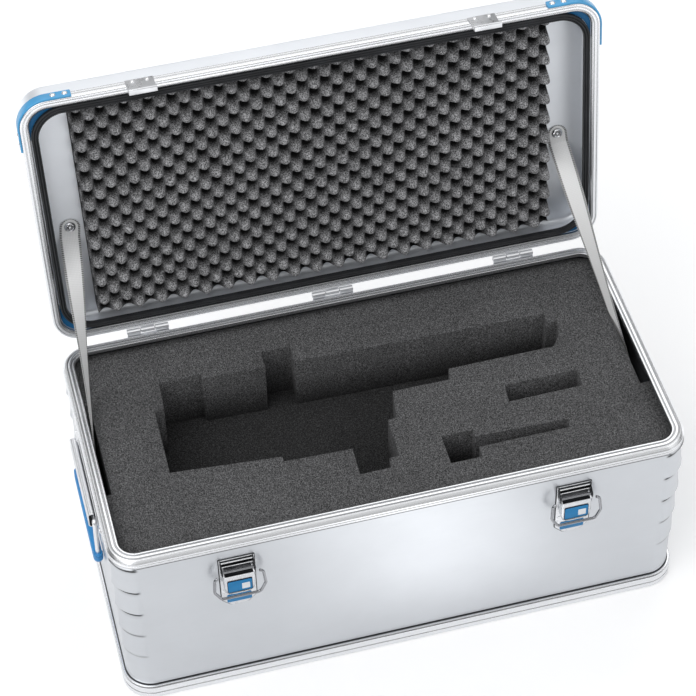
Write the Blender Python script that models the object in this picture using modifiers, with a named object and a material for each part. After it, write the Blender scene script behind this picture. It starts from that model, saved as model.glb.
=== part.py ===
"""Aluminium storage case with a hinged lid, two bail latches, two drop handles and cut foam.

The case stands on the floor at z = 0 with its length along X and its front facing -Y.
Every piece is drawn with the lid shut, and the lid's pieces then swing open about the
hinge axis with the empty that carries them. All lengths are in metres.
"""

from math import cos, floor, pi, radians, sin

import bmesh
import bpy
from mathutils import Matrix, Vector

# Case body
CASE_LENGTH = 0.800
CASE_WIDTH = 0.400
RIM_TOP = 0.306
CORNER_RADIUS = 0.040
SHEET = 0.0015
GAP = 0.0003
MERGE_WITHIN = 0.00001
ARC_STEPS = 8
OVERRUN = 0.004

# Frame that caps the wall of the base
FLANGE = 0.0022
RIM_DEPTH = 0.0170
RIM_FLANGE_HEIGHT = 0.0135
RIM_LIP_HEIGHT = 0.0065
RIM_PLATE = 0.0035
RIM_ROUND = 0.0015
RIM_GROOVE_INSET = 0.0105
RIM_GROOVE_WIDTH = 0.0014
RIM_GROOVE_DEPTH = 0.0009
RIM_LIP_WALL = 0.0015

# Wall sheet and its pressed corner ribs
WALL_INSET = FLANGE + GAP
WALL_TOP_GAP = 0.0045
RIB_DEPTH = 0.0030
RIB_REACH = 0.036
RIB_PITCH = 0.0485
RIB_STEP = 0.0080
RIB_COUNT = 5
RIB_FIRST_DROP = 0.0210
RIB_STATION_SHARES = (0.25, 0.6, 1.0)

# Frame and sheet at the foot
FOOT_HEIGHT = 0.0245
FOOT_DEPTH = 0.0170
FOOT_LEDGE = 0.0040
FLOOR_FIELD_INSET = 0.0250
FLOOR_FIELD_SLOPE = 0.0050

# Cut foam
FOAM_DROP = 0.0190
FOAM_SIDE_GAP = 0.0030
POCKET_DEPTH = 0.0920
POCKET_SHARES = (
    (-0.695, 0.604), (-0.542, 0.607), (-0.542, 0.563), (0.725, 0.512),
    (0.720, 0.419), (0.761, 0.419), (0.743, 0.271), (0.710, 0.184),
    (0.317, 0.179), (0.307, 0.077), (0.097, 0.077), (0.077, -0.174),
    (0.046, -0.174), (0.041, -0.517), (0.005, -0.522), (0.003, -0.604),
    (-0.110, -0.609), (-0.107, -0.368), (-0.350, -0.353), (-0.350, -0.307),
    (-0.741, -0.240), (-0.736, 0.343), (-0.702, 0.348),
)
FINGER_SHARES = ((-0.312, 0.500), (-0.204, 0.500), (-0.204, 0.700), (-0.312, 0.700))
SMALL_POCKET_SHARES = ((0.480, -0.240), (0.752, -0.232), (0.759, -0.078), (0.487, -0.086))
NECK_POCKET_SHARES = (
    (0.205, -0.425), (0.319, -0.425), (0.319, -0.491), (0.651, -0.506),
    (0.651, -0.583), (0.319, -0.588), (0.319, -0.680), (0.205, -0.680),
)

# Lid
LID_GAP = 0.0015
LID_HEIGHT = 0.0485
LID_EDGE_RADIUS = 0.0100
LID_RIM_DEPTH = 0.0120
LID_RIM_HEIGHT = 0.0140
LID_RIM_PLATE = 0.0045
LID_RIM_ROUND = 0.0010
OPEN_ANGLE = 98.3
SEAL_GAP = 0.0015
SEAL_WIDTH = 0.0100
SEAL_HEIGHT = 0.0130
SEAL_DROP = 0.0009
SEAL_CORNER_RADIUS = 0.060
SEAL_GROOVE = 0.0012
SEAL_RIDGES = 2
EDGE_STEPS = 4

# Corner mouldings of the lid
CORNER_WING = 0.034
CORNER_THICKNESS = 0.0025
CORNER_HEIGHT = 0.0150
CORNER_ROUND = 0.0010
PAD_THICKNESS = 0.0090

# Egg-crate foam in the lid
CRATE_PITCH = 0.0325
CRATE_BASE = 0.0120
CRATE_PEAK = 0.0300
CRATE_SIDE_MARGIN = 0.0665
CRATE_FRONT_MARGIN = 0.0210

# Hinges
HINGE_LENGTH = 0.060
HINGE_FROM_END = 0.130
HINGE_COUNT = 3
HINGE_OUT = 0.0045
KNUCKLE_RADIUS = 0.0040
HINGE_PIN_RADIUS = 0.0015
HINGE_BORE_RADIUS = 0.0018
LEAF = 0.0015
LEAF_CLEAR = 0.0037
KNUCKLE_SHARE = 0.34
KNUCKLE_CLEAR = 0.0004

# Latches
LATCH_FROM_END = 0.1655
PLATE_HALF_WIDTH = 0.0240
PLATE_LOW = 0.1715
PLATE_HIGH = 0.2715
PLATE_CHAMFER = 0.0110
EAR_SHEET = 0.0015
EAR_INNER = 0.0215
EAR_RADIUS = 0.0050
LATCH_AXIS_OUT = 0.0103
LATCH_AXIS_Z = 0.2560
LATCH_PIN_RADIUS = 0.0019
BORE_CLEAR = 0.0003
LEVER_HALF_WIDTH = 0.0210
LEVER_SHEET = 0.0013
LEVER_FRONT_OUT = 0.0160
LEVER_BACK_OUT = 0.0028
LEVER_LOW = 0.2130
LEVER_HIGH = 0.2500
LEVER_BACK_HIGH = 0.2590
LEVER_ROUND = 0.0110
BAIL_RADIUS = 0.00175
BAIL_HALF_WIDTH = 0.0350
BAIL_PIVOT_OUT = 0.0130
BAIL_PIVOT_Z = 0.2495
BAIL_LENGTH = 0.0385
BAIL_BEND = 0.0085
BAIL_STUB = 0.0185
BADGE_HALF_WIDTH = 0.0170
BADGE_HEIGHT = 0.0220
BADGE_LOW = 0.2190
BADGE_THICKNESS = 0.0008
STRIP_LOW = 0.1785
STRIP_HEIGHT = 0.0150

# Catches on the lid
CATCH_HALF_WIDTH = 0.0190
CATCH_SHEET = 0.0015
CATCH_LIP = 0.0048
CATCH_CURL = 0.0018
CATCH_TOP_UP = 0.0130
CATCH_CLEAR = 0.0004

# Drop handles
HANDLE_AXIS_OUT = 0.0062
HANDLE_AXIS_Z = 0.2500
HANDLE_PLATE_HALF = 0.1050
HANDLE_PLATE_HEIGHT = 0.0400
HANDLE_PLATE_SHEET = 0.0012
HANDLE_END_SHARE = 0.99
BRACKET_HALF = 0.0730
BRACKET_DEPTH = 0.0088
BRACKET_HEIGHT = 0.0260
BRACKET_ROUND = 0.0030
BOW_RADIUS = 0.0030
BOW_HALF = 0.0795
BOW_DROP = 0.0850
BOW_BEND = 0.0060
BOW_LEAN = 0.0032
GRIP_RADIUS = 0.0068
GRIP_RETURN = 0.0160
GRIP_BEND = 0.0075
GRIP_SOCKET = 0.0120

# Lid stay straps
STRAP_HALF_WIDTH = 0.0100
STRAP_THICKNESS = 0.0014
STRAP_TOP_INSET = 0.0475
STRAP_TOP_Y = 0.0380
STRAP_LOW_INSET = 0.0095
STRAP_LOW_Y = -0.0450
STRAP_LOW_DROP = 0.1000
STRAP_FLAT = 0.0150
STRAP_BEYOND = 0.0100
STRAP_STEPS = 10
STRAP_SLOT_HALF = 0.0700
STRAP_SLOT_INSET = 0.0255
STRAP_SLOT_Y = 0.0075
ANCHOR_RADIUS = 0.0085
ANCHOR_THICKNESS = 0.0022
RIVET_RADIUS = 0.0080
RIVET_HEIGHT = 0.0040

HALF_X = CASE_LENGTH / 2
HALF_Y = CASE_WIDTH / 2
LATCH_X = HALF_X - LATCH_FROM_END
LID_LOW = RIM_TOP + LID_GAP
LID_TOP = LID_LOW + LID_HEIGHT
WALL_OUT_Y = HALF_Y - WALL_INSET
WALL_OUT_X = HALF_X - WALL_INSET
WALL_IN_INSET = WALL_INSET + SHEET
HINGE_AXIS = Vector((0, HALF_Y + HINGE_OUT, RIM_TOP + LID_GAP / 3))
FOAM_TOP = RIM_TOP - FOAM_DROP
FOAM_INSET = WALL_IN_INSET + FOAM_SIDE_GAP
PANEL_UNDER = LID_TOP - SHEET

PALETTE = {
    "aluminium": ((0.80, 0.82, 0.84), 0.35, 1.0),
    "bright_steel": ((0.62, 0.63, 0.65), 0.20, 1.0),
    "blue_plastic": ((0.03, 0.24, 0.62), 0.40, 0.0),
    "foam": ((0.045, 0.045, 0.048), 0.95, 0.0),
    "rubber": ((0.02, 0.02, 0.022), 0.60, 0.0),
    "webbing": ((0.72, 0.71, 0.68), 0.85, 0.0),
}

PARTS = bpy.data.collections.new("Storage case")
CUTTERS = bpy.data.collections.new("Cutters")

# Where a flat outline's own u, v and thickness directions point
FRONT = Matrix(((1, 0, 0), (0, 0, -1), (0, 1, 0))).to_4x4()
SIDE = Matrix(((0, 0, 1), (1, 0, 0), (0, 1, 0))).to_4x4()
TOP = Matrix.Identity(4)


def clear_scene():
    for obj in list(bpy.data.objects):
        bpy.data.objects.remove(obj)
    for collection in (PARTS, CUTTERS):
        bpy.context.scene.collection.children.link(collection)


def material(name):
    """The named material, made on first use."""
    if name in bpy.data.materials:
        return bpy.data.materials[name]
    colour, roughness, metallic = PALETTE[name]
    made = bpy.data.materials.new(name)
    made.use_nodes = True
    shader = made.node_tree.nodes["Principled BSDF"]
    shader.inputs["Base Color"].default_value = (*colour, 1)
    shader.inputs["Roughness"].default_value = roughness
    shader.inputs["Metallic"].default_value = metallic
    made.diffuse_color = (*colour, 1)
    return made


def add(name, mesh, colour, matrix=TOP):
    """A part when colour names a material, or a hidden cutter when colour is None."""
    obj = bpy.data.objects.new(name, mesh)
    obj.matrix_world = matrix
    if colour:
        PARTS.objects.link(obj)
        mesh.materials.append(material(colour))
        return obj
    CUTTERS.objects.link(obj)
    obj.hide_render = True
    obj.display_type = "WIRE"
    return obj


def smooth(obj, angle=35):
    obj.data.shade_smooth()
    obj.data.set_sharp_from_angle(angle=radians(angle))


def combine(obj, tool, operation="DIFFERENCE"):
    change = obj.modifiers.new(tool.name, "BOOLEAN")
    change.object = tool
    change.operation = operation
    change.solver = "EXACT"


def thicken(obj, thickness):
    shell = obj.modifiers.new("Sheet", "SOLIDIFY")
    shell.thickness = thickness
    shell.offset = -1
    shell.use_even_offset = True
    shell.use_quality_normals = True


def mesh_of(curve, name):
    """The evaluated mesh of a curve, with its loose caps joined on."""
    holder = bpy.data.objects.new(name, curve)
    CUTTERS.objects.link(holder)
    graph = bpy.context.evaluated_depsgraph_get()
    mesh = bpy.data.meshes.new_from_object(holder.evaluated_get(graph))
    bpy.data.objects.remove(holder)
    bpy.data.curves.remove(curve)
    work = bmesh.new()
    work.from_mesh(mesh)
    bmesh.ops.remove_doubles(work, verts=work.verts, dist=MERGE_WITHIN)
    bmesh.ops.recalc_face_normals(work, faces=work.faces)
    work.to_mesh(mesh)
    work.free()
    mesh.name = name
    mesh.materials.clear()
    return mesh


def add_spline(curve, points, cyclic):
    spline = curve.splines.new("POLY")
    spline.points.add(len(points) - 1)
    for point, place in zip(spline.points, points):
        point.co = (*place, *(0,) * (3 - len(place)), 1)
    spline.use_cyclic_u = cyclic
    return spline


def plate(name, outlines, thickness, colour, matrix):
    """A flat piece: closed outlines filled and given a thickness about their plane."""
    curve = bpy.data.curves.new(name, "CURVE")
    curve.dimensions = "2D"
    curve.fill_mode = "BOTH"
    curve.extrude = thickness / 2
    for outline in outlines:
        add_spline(curve, outline, True)
    return add(name, mesh_of(curve, name), colour, matrix)


def rod(name, points, radius, colour, fineness=3, matrix=TOP):
    """Round bar of the given radius along the points, with filled ends."""
    curve = bpy.data.curves.new(name, "CURVE")
    curve.dimensions = "3D"
    curve.bevel_depth = radius
    curve.bevel_resolution = fineness
    curve.use_fill_caps = True
    add_spline(curve, points, False)
    obj = add(name, mesh_of(curve, name), colour, matrix)
    smooth(obj)
    return obj


def turned(name, profile, colour, matrix, steps=16):
    """A profile of (radius, height) pairs turned about its own Z, listed top to bottom."""
    mesh = bpy.data.meshes.new(name)
    work = bmesh.new()
    points = [work.verts.new((radius, 0, height)) for radius, height in profile]
    for start, end in zip(points, points[1:]):
        work.edges.new((start, end))
    work.to_mesh(mesh)
    work.free()
    obj = add(name, mesh, colour, matrix)
    screw = obj.modifiers.new("Turn", "SCREW")
    screw.steps = steps
    screw.render_steps = steps
    screw.use_merge_vertices = True
    screw.merge_threshold = MERGE_WITHIN
    return obj


def box(name, low, high, colour=None):
    mesh = bpy.data.meshes.new(name)
    work = bmesh.new()
    low, high = Vector(low), Vector(high)
    size = Matrix.Diagonal((*(high - low), 1))
    bmesh.ops.create_cube(work, size=1, matrix=Matrix.Translation((low + high) / 2) @ size)
    work.to_mesh(mesh)
    work.free()
    return add(name, mesh, colour)


def lofted(name, rows, colour, ends):
    """Closed loops of points joined in order; ends is cap, join or last."""
    work = bmesh.new()
    station = work.verts.layers.int.new("station")
    loop = []
    for number, point in enumerate(rows[0]):
        vertex = work.verts.new(point)
        vertex[station] = number
        loop.append(vertex)
    edges = [work.edges.new((loop[number - 1], loop[number])) for number in range(len(loop))]
    first_edges = list(edges)
    for row in rows[1:]:
        made = bmesh.ops.extrude_edge_only(work, edges=edges)["geom"]
        fresh = {item for item in made if isinstance(item, bmesh.types.BMVert)}
        for vertex in fresh:
            vertex.co = row[vertex[station]]
        edges = [
            edge for edge in work.edges
            if edge.verts[0] in fresh and edge.verts[1] in fresh
        ]
    if ends == "join":
        bmesh.ops.bridge_loops(work, edges=edges + first_edges)
    if ends in ("cap", "last"):
        bmesh.ops.contextual_create(work, geom=edges)
    if ends == "cap":
        bmesh.ops.contextual_create(work, geom=first_edges)
    bmesh.ops.recalc_face_normals(work, faces=work.faces)
    mesh = bpy.data.meshes.new(name)
    work.to_mesh(mesh)
    work.free()
    obj = add(name, mesh, colour)
    smooth(obj)
    return obj


def around(inset, radius=CORNER_RADIUS, stops=(), quarters=range(4)):
    """(x, y, outward x, outward y, reach) along the case outline, moved in by the inset.

    The reach is the distance along a side from the end of the nearest arc.
    """
    spots = []
    for quarter in quarters:
        side_x = (1, -1, -1, 1)[quarter]
        side_y = (1, 1, -1, -1)[quarter]
        centre = Vector((side_x * (HALF_X - radius), side_y * (HALF_Y - radius)))
        begin = quarter * pi / 2
        stations = [(begin, -stop) for stop in reversed(stops)]
        stations += [(begin + pi / 2 * step / ARC_STEPS, 0) for step in range(ARC_STEPS + 1)]
        stations += [(begin + pi / 2, stop) for stop in stops]
        for angle, along in stations:
            out = Vector((cos(angle), sin(angle)))
            tangent = Vector((-sin(angle), cos(angle)))
            spot = centre + out * (radius - inset) + tangent * along
            spots.append((*spot, *out, abs(along)))
    return spots


def frame(name, profile, colour, radius=CORNER_RADIUS, stops=(), quarters=range(4)):
    """A closed profile of (inset, z) pairs carried round the case outline."""
    rows = []
    for x, y, out_x, out_y, _ in around(0, radius, stops, quarters):
        rows.append([(x - out_x * inset, y - out_y * inset, z) for inset, z in profile])
    whole = len(quarters) == 4
    return lofted(name, rows, colour, "join" if whole else "cap")


def tray(name, rows, colour):
    """Sheet whose outer face follows rows of (inset, z), closed by a flat last row."""
    loops = [[(x, y, z) for x, y, _, _, _ in around(inset)] for inset, z in rows]
    obj = lofted(name, loops, colour, "last")
    thicken(obj, SHEET)
    return obj


def circle(u, v, radius, steps=16):
    turns = [2 * pi * step / steps for step in range(steps)]
    return [(u + radius * cos(turn), v + radius * sin(turn)) for turn in turns]


def filleted(corners, steps=4):
    """An outline of (u, v, radius) corners with each radius drawn as an arc."""
    points = []
    count = len(corners)
    for number, (u, v, radius) in enumerate(corners):
        corner = Vector((u, v))
        if radius == 0:
            points.append((u, v))
            continue
        before = (Vector(corners[number - 1][:2]) - corner).normalized()
        after = (Vector(corners[(number + 1) % count][:2]) - corner).normalized()
        half = before.angle(after) / 2
        middle = corner + (before + after).normalized() * radius / sin(half)
        start = corner + before * radius / (sin(half) / cos(half)) - middle
        sweep = Vector(start).angle_signed(corner + after * radius / (sin(half) / cos(half)) - middle)
        for step in range(steps + 1):
            turn = -sweep * step / steps
            turned_start = Matrix.Rotation(turn, 2) @ start
            points.append(tuple(middle + turned_start))
    return points


def bent(points, radius, steps=4):
    """A 3-D path whose inner corners are rounded to the radius."""
    path = [Vector(points[0])]
    for before, corner, after in zip(points, points[1:], points[2:]):
        corner = Vector(corner)
        back = (Vector(before) - corner).normalized()
        ahead = (Vector(after) - corner).normalized()
        half = back.angle(ahead) / 2
        middle = corner + (back + ahead).normalized() * radius / sin(half)
        start = corner + back * radius * cos(half) / sin(half) - middle
        end = corner + ahead * radius * cos(half) / sin(half) - middle
        axis = start.cross(end)
        for step in range(steps + 1):
            turn = Matrix.Rotation(start.angle(end) * step / steps, 3, axis)
            path.append(middle + turn @ start)
    path.append(Vector(points[-1]))
    return path


def moved(x, y, z):
    return Matrix.Translation((x, y, z))


def hang(name, pivot, makers, angle=0, axis="X"):
    """Pieces drawn in place by the makers, then carried by an empty on their joint axis."""
    before = set(bpy.data.objects)
    for maker in makers:
        maker()
    empty = bpy.data.objects.new(name, None)
    PARTS.objects.link(empty)
    for obj in set(bpy.data.objects) - before - {empty}:
        if obj.parent is None:
            obj.parent = empty
            obj.matrix_parent_inverse = Matrix.Translation(-Vector(pivot))
    empty.matrix_world = Matrix.Translation(pivot) @ Matrix.Rotation(radians(angle), 4, axis)
    return empty


def rib_offset(z, reach):
    """How far the pressed ribs push the wall out: a slope that steps back at each crease."""
    drop = RIM_TOP - RIB_FIRST_DROP - z
    if not 0 <= drop <= RIB_COUNT * RIB_PITCH:
        return 0
    fall = drop % RIB_PITCH
    slope = fall / (RIB_PITCH - RIB_STEP)
    step = (RIB_PITCH - fall) / RIB_STEP
    fade = cos(pi / 2 * min(reach / RIB_REACH, 1)) ** 2
    return RIB_DEPTH * min(slope, step) * fade


def base_shell():
    """The wall sheet, closed round all four sides, with ribs pressed into its corners."""
    levels = [FOOT_LEDGE + GAP]
    for number in reversed(range(RIB_COUNT)):
        crease = RIM_TOP - RIB_FIRST_DROP - (number + 1) * RIB_PITCH
        levels += [crease, crease + RIB_STEP]
    levels += [RIM_TOP - RIB_FIRST_DROP, RIM_TOP - WALL_TOP_GAP]
    stops = [share * RIB_REACH for share in RIB_STATION_SHARES]
    rows = []
    for z in levels:
        row = []
        for x, y, out_x, out_y, reach in around(WALL_INSET, stops=stops):
            out = rib_offset(z, reach)
            row.append((x + out_x * out, y + out_y * out, z))
        rows.append(row)
    obj = lofted("base_shell", rows, "aluminium", "open")
    thicken(obj, SHEET)


def base_rim():
    """Frame over the wall: outer flange, flat top with a groove, and an inner lip."""
    top = RIM_TOP
    groove = RIM_GROOVE_INSET
    lip = RIM_DEPTH
    profile = [
        (0, top - RIM_FLANGE_HEIGHT),
        (0, top - RIM_ROUND),
        (RIM_ROUND, top),
        (groove, top),
        (groove, top - RIM_GROOVE_DEPTH),
        (groove + RIM_GROOVE_WIDTH, top - RIM_GROOVE_DEPTH),
        (groove + RIM_GROOVE_WIDTH, top - RIM_GROOVE_DEPTH / 2),
        (lip - RIM_ROUND, top - RIM_GROOVE_DEPTH / 2),
        (lip, top - RIM_ROUND),
        (lip, top - RIM_LIP_HEIGHT),
        (lip - RIM_LIP_WALL, top - RIM_LIP_HEIGHT),
        (lip - RIM_LIP_WALL, top - RIM_PLATE),
        (FLANGE, top - RIM_PLATE),
        (FLANGE, top - RIM_FLANGE_HEIGHT),
    ]
    frame("base_rim", profile, "aluminium")


def base_foot_frame():
    """Angle frame round the foot: an upright flange and a ledge that stands on the floor."""
    profile = [
        (0, 0),
        (0, FOOT_HEIGHT),
        (FLANGE, FOOT_HEIGHT),
        (FLANGE, FOOT_LEDGE),
        (FOOT_DEPTH, FOOT_LEDGE),
        (FOOT_DEPTH, 0),
    ]
    frame("base_foot_frame", profile, "aluminium")


def base_floor():
    """Floor sheet on the ledge, its middle field pressed down to the standing level."""
    rest = FOOT_LEDGE + GAP
    rows = [
        (WALL_IN_INSET + GAP, rest),
        (FLOOR_FIELD_INSET, rest),
        (FLOOR_FIELD_INSET + FLOOR_FIELD_SLOPE, 0),
    ]
    face_down(tray("base_floor", rows, "aluminium"))


def face_down(obj):
    """Turns an open sheet so that its faces look down."""
    work = bmesh.new()
    work.from_mesh(obj.data)
    if sum(face.normal.z * face.calc_area() for face in work.faces) > 0:
        bmesh.ops.reverse_faces(work, faces=work.faces)
    work.to_mesh(obj.data)
    work.free()


def foam_outline():
    return [(x, y) for x, y, _, _, _ in around(FOAM_INSET)]


def foam_points(shares):
    reach_x = HALF_X - FOAM_INSET
    reach_y = HALF_Y - FOAM_INSET
    return [(share_x * reach_x, share_y * reach_y) for share_x, share_y in shares]


def foam_insert():
    """Upper foam with the pockets cut right through it and a relief for each strap."""
    middle = FOAM_TOP - POCKET_DEPTH / 2
    obj = plate("foam_insert", [foam_outline()], POCKET_DEPTH, "foam", moved(0, 0, middle))
    pockets = {
        "pocket_main": POCKET_SHARES,
        "pocket_finger": FINGER_SHARES,
        "pocket_small": SMALL_POCKET_SHARES,
        "pocket_neck": NECK_POCKET_SHARES,
    }
    for name, shares in pockets.items():
        height = POCKET_DEPTH + 2 * OVERRUN
        cutter = plate(name, [foam_points(shares)], height, None, moved(0, 0, middle))
        combine(obj, cutter)
    for side, name in ((-1, "left"), (1, "right")):
        inner = side * (HALF_X - STRAP_SLOT_INSET)
        outer = side * HALF_X
        cutter = box(
            f"strap_slot_{name}",
            (min(inner, outer), STRAP_SLOT_Y - STRAP_SLOT_HALF, FOAM_TOP - POCKET_DEPTH - OVERRUN),
            (max(inner, outer), STRAP_SLOT_Y + STRAP_SLOT_HALF, FOAM_TOP + OVERRUN),
        )
        combine(obj, cutter)


def foam_base():
    """Plain foam that closes the pockets from below."""
    low = FOOT_LEDGE + GAP + SHEET + GAP
    high = FOAM_TOP - POCKET_DEPTH - GAP
    place = moved(0, 0, (low + high) / 2)
    plate("foam_base", [foam_outline()], high - low, "foam", place)


def lid_shell():
    """Drawn lid sheet: flat top, rounded edge and a wall down into the lid's rim."""
    inset = WALL_INSET
    rows = [(inset, LID_LOW + LID_RIM_PLATE + GAP)]
    for step in range(EDGE_STEPS + 1):
        turn = pi / 2 * step / EDGE_STEPS
        rows.append((
            inset + LID_EDGE_RADIUS * (1 - cos(turn)),
            LID_TOP - LID_EDGE_RADIUS * (1 - sin(turn)),
        ))
    tray("lid_shell", rows, "aluminium")


def lid_rim():
    """Frame along the lid's lower edge, a flange outside and a plate across."""
    profile = [
        (0, LID_LOW + LID_RIM_HEIGHT),
        (0, LID_LOW + LID_RIM_ROUND),
        (LID_RIM_ROUND, LID_LOW),
        (LID_RIM_DEPTH - LID_RIM_ROUND, LID_LOW),
        (LID_RIM_DEPTH, LID_LOW + LID_RIM_ROUND),
        (LID_RIM_DEPTH, LID_LOW + LID_RIM_PLATE),
        (FLANGE, LID_LOW + LID_RIM_PLATE),
        (FLANGE, LID_LOW + LID_RIM_HEIGHT),
    ]
    frame("lid_rim", profile, "aluminium")


def seal_outer_inset():
    return LID_RIM_DEPTH + SEAL_GAP


def lid_seal():
    """Rubber ring inside the rim, ridged where it meets the base."""
    outer = seal_outer_inset()
    low = LID_LOW - SEAL_DROP
    ridge = SEAL_WIDTH / (2 * SEAL_RIDGES + 1)
    profile = [(outer, low + SEAL_HEIGHT)]
    for number in range(2 * SEAL_RIDGES + 1):
        level = low + (SEAL_GROOVE if number % 2 else 0)
        profile += [(outer + ridge * number, level), (outer + ridge * (number + 1), level)]
    profile.append((outer + SEAL_WIDTH, low + SEAL_HEIGHT))
    frame("lid_seal", profile, "rubber", SEAL_CORNER_RADIUS)


def corner_profile():
    """Section of a corner moulding: a band on the outside of the lid's rim."""
    inner, outer = -GAP, -GAP - CORNER_THICKNESS
    low = LID_LOW + LID_RIM_ROUND
    high = low + CORNER_HEIGHT
    return [
        (inner, low), (outer + CORNER_ROUND, low), (outer, low + CORNER_ROUND),
        (outer, high - CORNER_ROUND), (outer + CORNER_ROUND, high), (inner, high),
    ]


CORNER_NAMES = ("rear_right", "rear_left", "front_left", "front_right")


def lid_corners():
    """Plastic mouldings that guard the two front corners of the lid's rim."""
    for name in ("front_left", "front_right"):
        quarter = CORNER_NAMES.index(name)
        frame(
            f"lid_corner_{name}", corner_profile(), "blue_plastic",
            stops=(CORNER_WING,), quarters=(quarter,),
        )


def corner_pads():
    """Plastic fillers between the rim's corner and the wider curve of the seal."""
    beyond = SEAL_CORNER_RADIUS - CORNER_RADIUS
    for quarter, name in enumerate(CORNER_NAMES):
        by_rim = around(LID_RIM_DEPTH + GAP, stops=(beyond,), quarters=(quarter,))
        by_seal = around(seal_outer_inset() - GAP, SEAL_CORNER_RADIUS, quarters=(quarter,))
        outline = [spot[:2] for spot in by_rim + by_seal[::-1]]
        low = LID_LOW + LID_RIM_ROUND
        place = moved(0, 0, low + PAD_THICKNESS / 2)
        plate(f"lid_pad_{name}", [outline], PAD_THICKNESS, "blue_plastic", place)


def lid_foam():
    """Egg-crate foam: a peak or a hollow at each crossing of a square lattice, in turn."""
    half_cell = CRATE_PITCH / 2
    count_x = floor(2 * (HALF_X - CRATE_SIDE_MARGIN) / half_cell)
    count_y = floor(2 * (HALF_Y - CRATE_FRONT_MARGIN) / half_cell)
    corner_x = count_x * half_cell / 2
    corner_y = count_y * half_cell / 2
    under = PANEL_UNDER - GAP
    work = bmesh.new()
    bmesh.ops.create_grid(
        work, x_segments=count_x, y_segments=count_y,
        size=1,
        matrix=Matrix.Diagonal((corner_x, corner_y, 1, 1)),
    )
    for vertex in work.verts:
        cells_x = (vertex.co.x + corner_x) / half_cell
        cells_y = (vertex.co.y + corner_y) / half_cell
        wave = cos(pi * cells_x) * cos(pi * cells_y)
        height = CRATE_BASE + (CRATE_PEAK - CRATE_BASE) * (1 + wave) / 2
        vertex.co.z = under - height
    border = [edge for edge in work.edges if edge.is_boundary]
    made = bmesh.ops.extrude_edge_only(work, edges=border)["geom"]
    fresh = {item for item in made if isinstance(item, bmesh.types.BMVert)}
    for vertex in fresh:
        vertex.co.z = under
    back = [edge for edge in work.edges if edge.verts[0] in fresh and edge.verts[1] in fresh]
    bmesh.ops.contextual_create(work, geom=back)
    bmesh.ops.recalc_face_normals(work, faces=work.faces)
    mesh = bpy.data.meshes.new("lid_foam")
    work.to_mesh(mesh)
    work.free()
    obj = add("lid_foam", mesh, "foam")
    smooth(obj, 80)


def catch_lip_top():
    """Height of the catch's lip: just under the bail's bar when the bail is swung right up."""
    bar_rise = -bail_direction().z * BAIL_LENGTH
    return BAIL_PIVOT_Z + bar_rise - BAIL_RADIUS - CATCH_CLEAR


def lid_catches():
    """Hooks on the lid's front that reach over the rim, for the bails to pull on."""
    back = -HALF_Y - GAP
    front = back - CATCH_SHEET
    lip_end = front - CATCH_LIP
    low = catch_lip_top() - CATCH_SHEET
    lip_top = catch_lip_top()
    high = LID_LOW + CATCH_TOP_UP
    outline = [
        (back, low), (back, high), (front, high), (front, lip_top), (lip_end, lip_top),
        (lip_end, lip_top + CATCH_CURL), (lip_end - CATCH_SHEET, lip_top + CATCH_CURL),
        (lip_end - CATCH_SHEET, low),
    ]
    for side, name in ((-1, "left"), (1, "right")):
        place = moved(side * LATCH_X, 0, 0) @ SIDE
        plate(f"lid_catch_{name}", [outline], 2 * CATCH_HALF_WIDTH, "bright_steel", place)


def hinge_x(number):
    """The first and last hinge keep their distance from the case's ends."""
    return (2 * number / (HINGE_COUNT - 1) - 1) * (HALF_X - HINGE_FROM_END)


def hinge_leaf(name, x, up, middle):
    """One leaf with its knuckles; up is 1 on the lid and -1 on the base."""
    axis = HINGE_AXIS
    face = HALF_Y + GAP
    near = axis.z + up * LEAF_CLEAR
    far = LID_LOW + LID_RIM_HEIGHT if up > 0 else RIM_TOP - RIM_FLANGE_HEIGHT
    place = moved(x, 0, 0) @ SIDE
    leaf_outline = [(face, near), (face, far), (face + LEAF, far), (face + LEAF, near)]
    obj = plate(name, [leaf_outline], HINGE_LENGTH, "aluminium", place)
    third = HINGE_LENGTH * KNUCKLE_SHARE
    if middle:
        spans = [(0, third - 2 * KNUCKLE_CLEAR)]
    else:
        width = (HINGE_LENGTH - third) / 2 - KNUCKLE_CLEAR
        offset = (HINGE_LENGTH - width) / 2
        spans = [(-offset, width), (offset, width)]
    for number, (offset, width) in enumerate(spans):
        centre = moved(x + offset, 0, 0) @ SIDE
        knuckle = plate(
            f"{name}_knuckle_{number}", [circle(axis.y, axis.z, KNUCKLE_RADIUS)], width, None, centre
        )
        tab_outline = [
            (face, axis.z), (face, near + up * LEAF),
            (face + LEAF, near + up * LEAF), (face + LEAF, axis.z),
        ]
        tab = plate(f"{name}_tab_{number}", [tab_outline], width - GAP, None, centre)
        combine(obj, knuckle, "UNION")
        combine(obj, tab, "UNION")
    bore = plate(
        f"{name}_bore", [circle(axis.y, axis.z, HINGE_BORE_RADIUS, 12)],
        HINGE_LENGTH + 2 * OVERRUN, None, place,
    )
    combine(obj, bore)


def base_hinge_leaves():
    for number in range(HINGE_COUNT):
        hinge_leaf(f"hinge_leaf_base_{number + 1}", hinge_x(number), -1, False)
        pin_place = moved(hinge_x(number), 0, 0) @ SIDE
        section = circle(HINGE_AXIS.y, HINGE_AXIS.z, HINGE_PIN_RADIUS, 12)
        plate(f"hinge_pin_{number + 1}", [section], HINGE_LENGTH, "bright_steel", pin_place)


def lid_hinge_leaves():
    for number in range(HINGE_COUNT):
        hinge_leaf(f"hinge_leaf_lid_{number + 1}", hinge_x(number), 1, True)


def out_y(distance):
    """World y of a place that many metres in front of the front wall's face."""
    return -WALL_OUT_Y - distance


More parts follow.
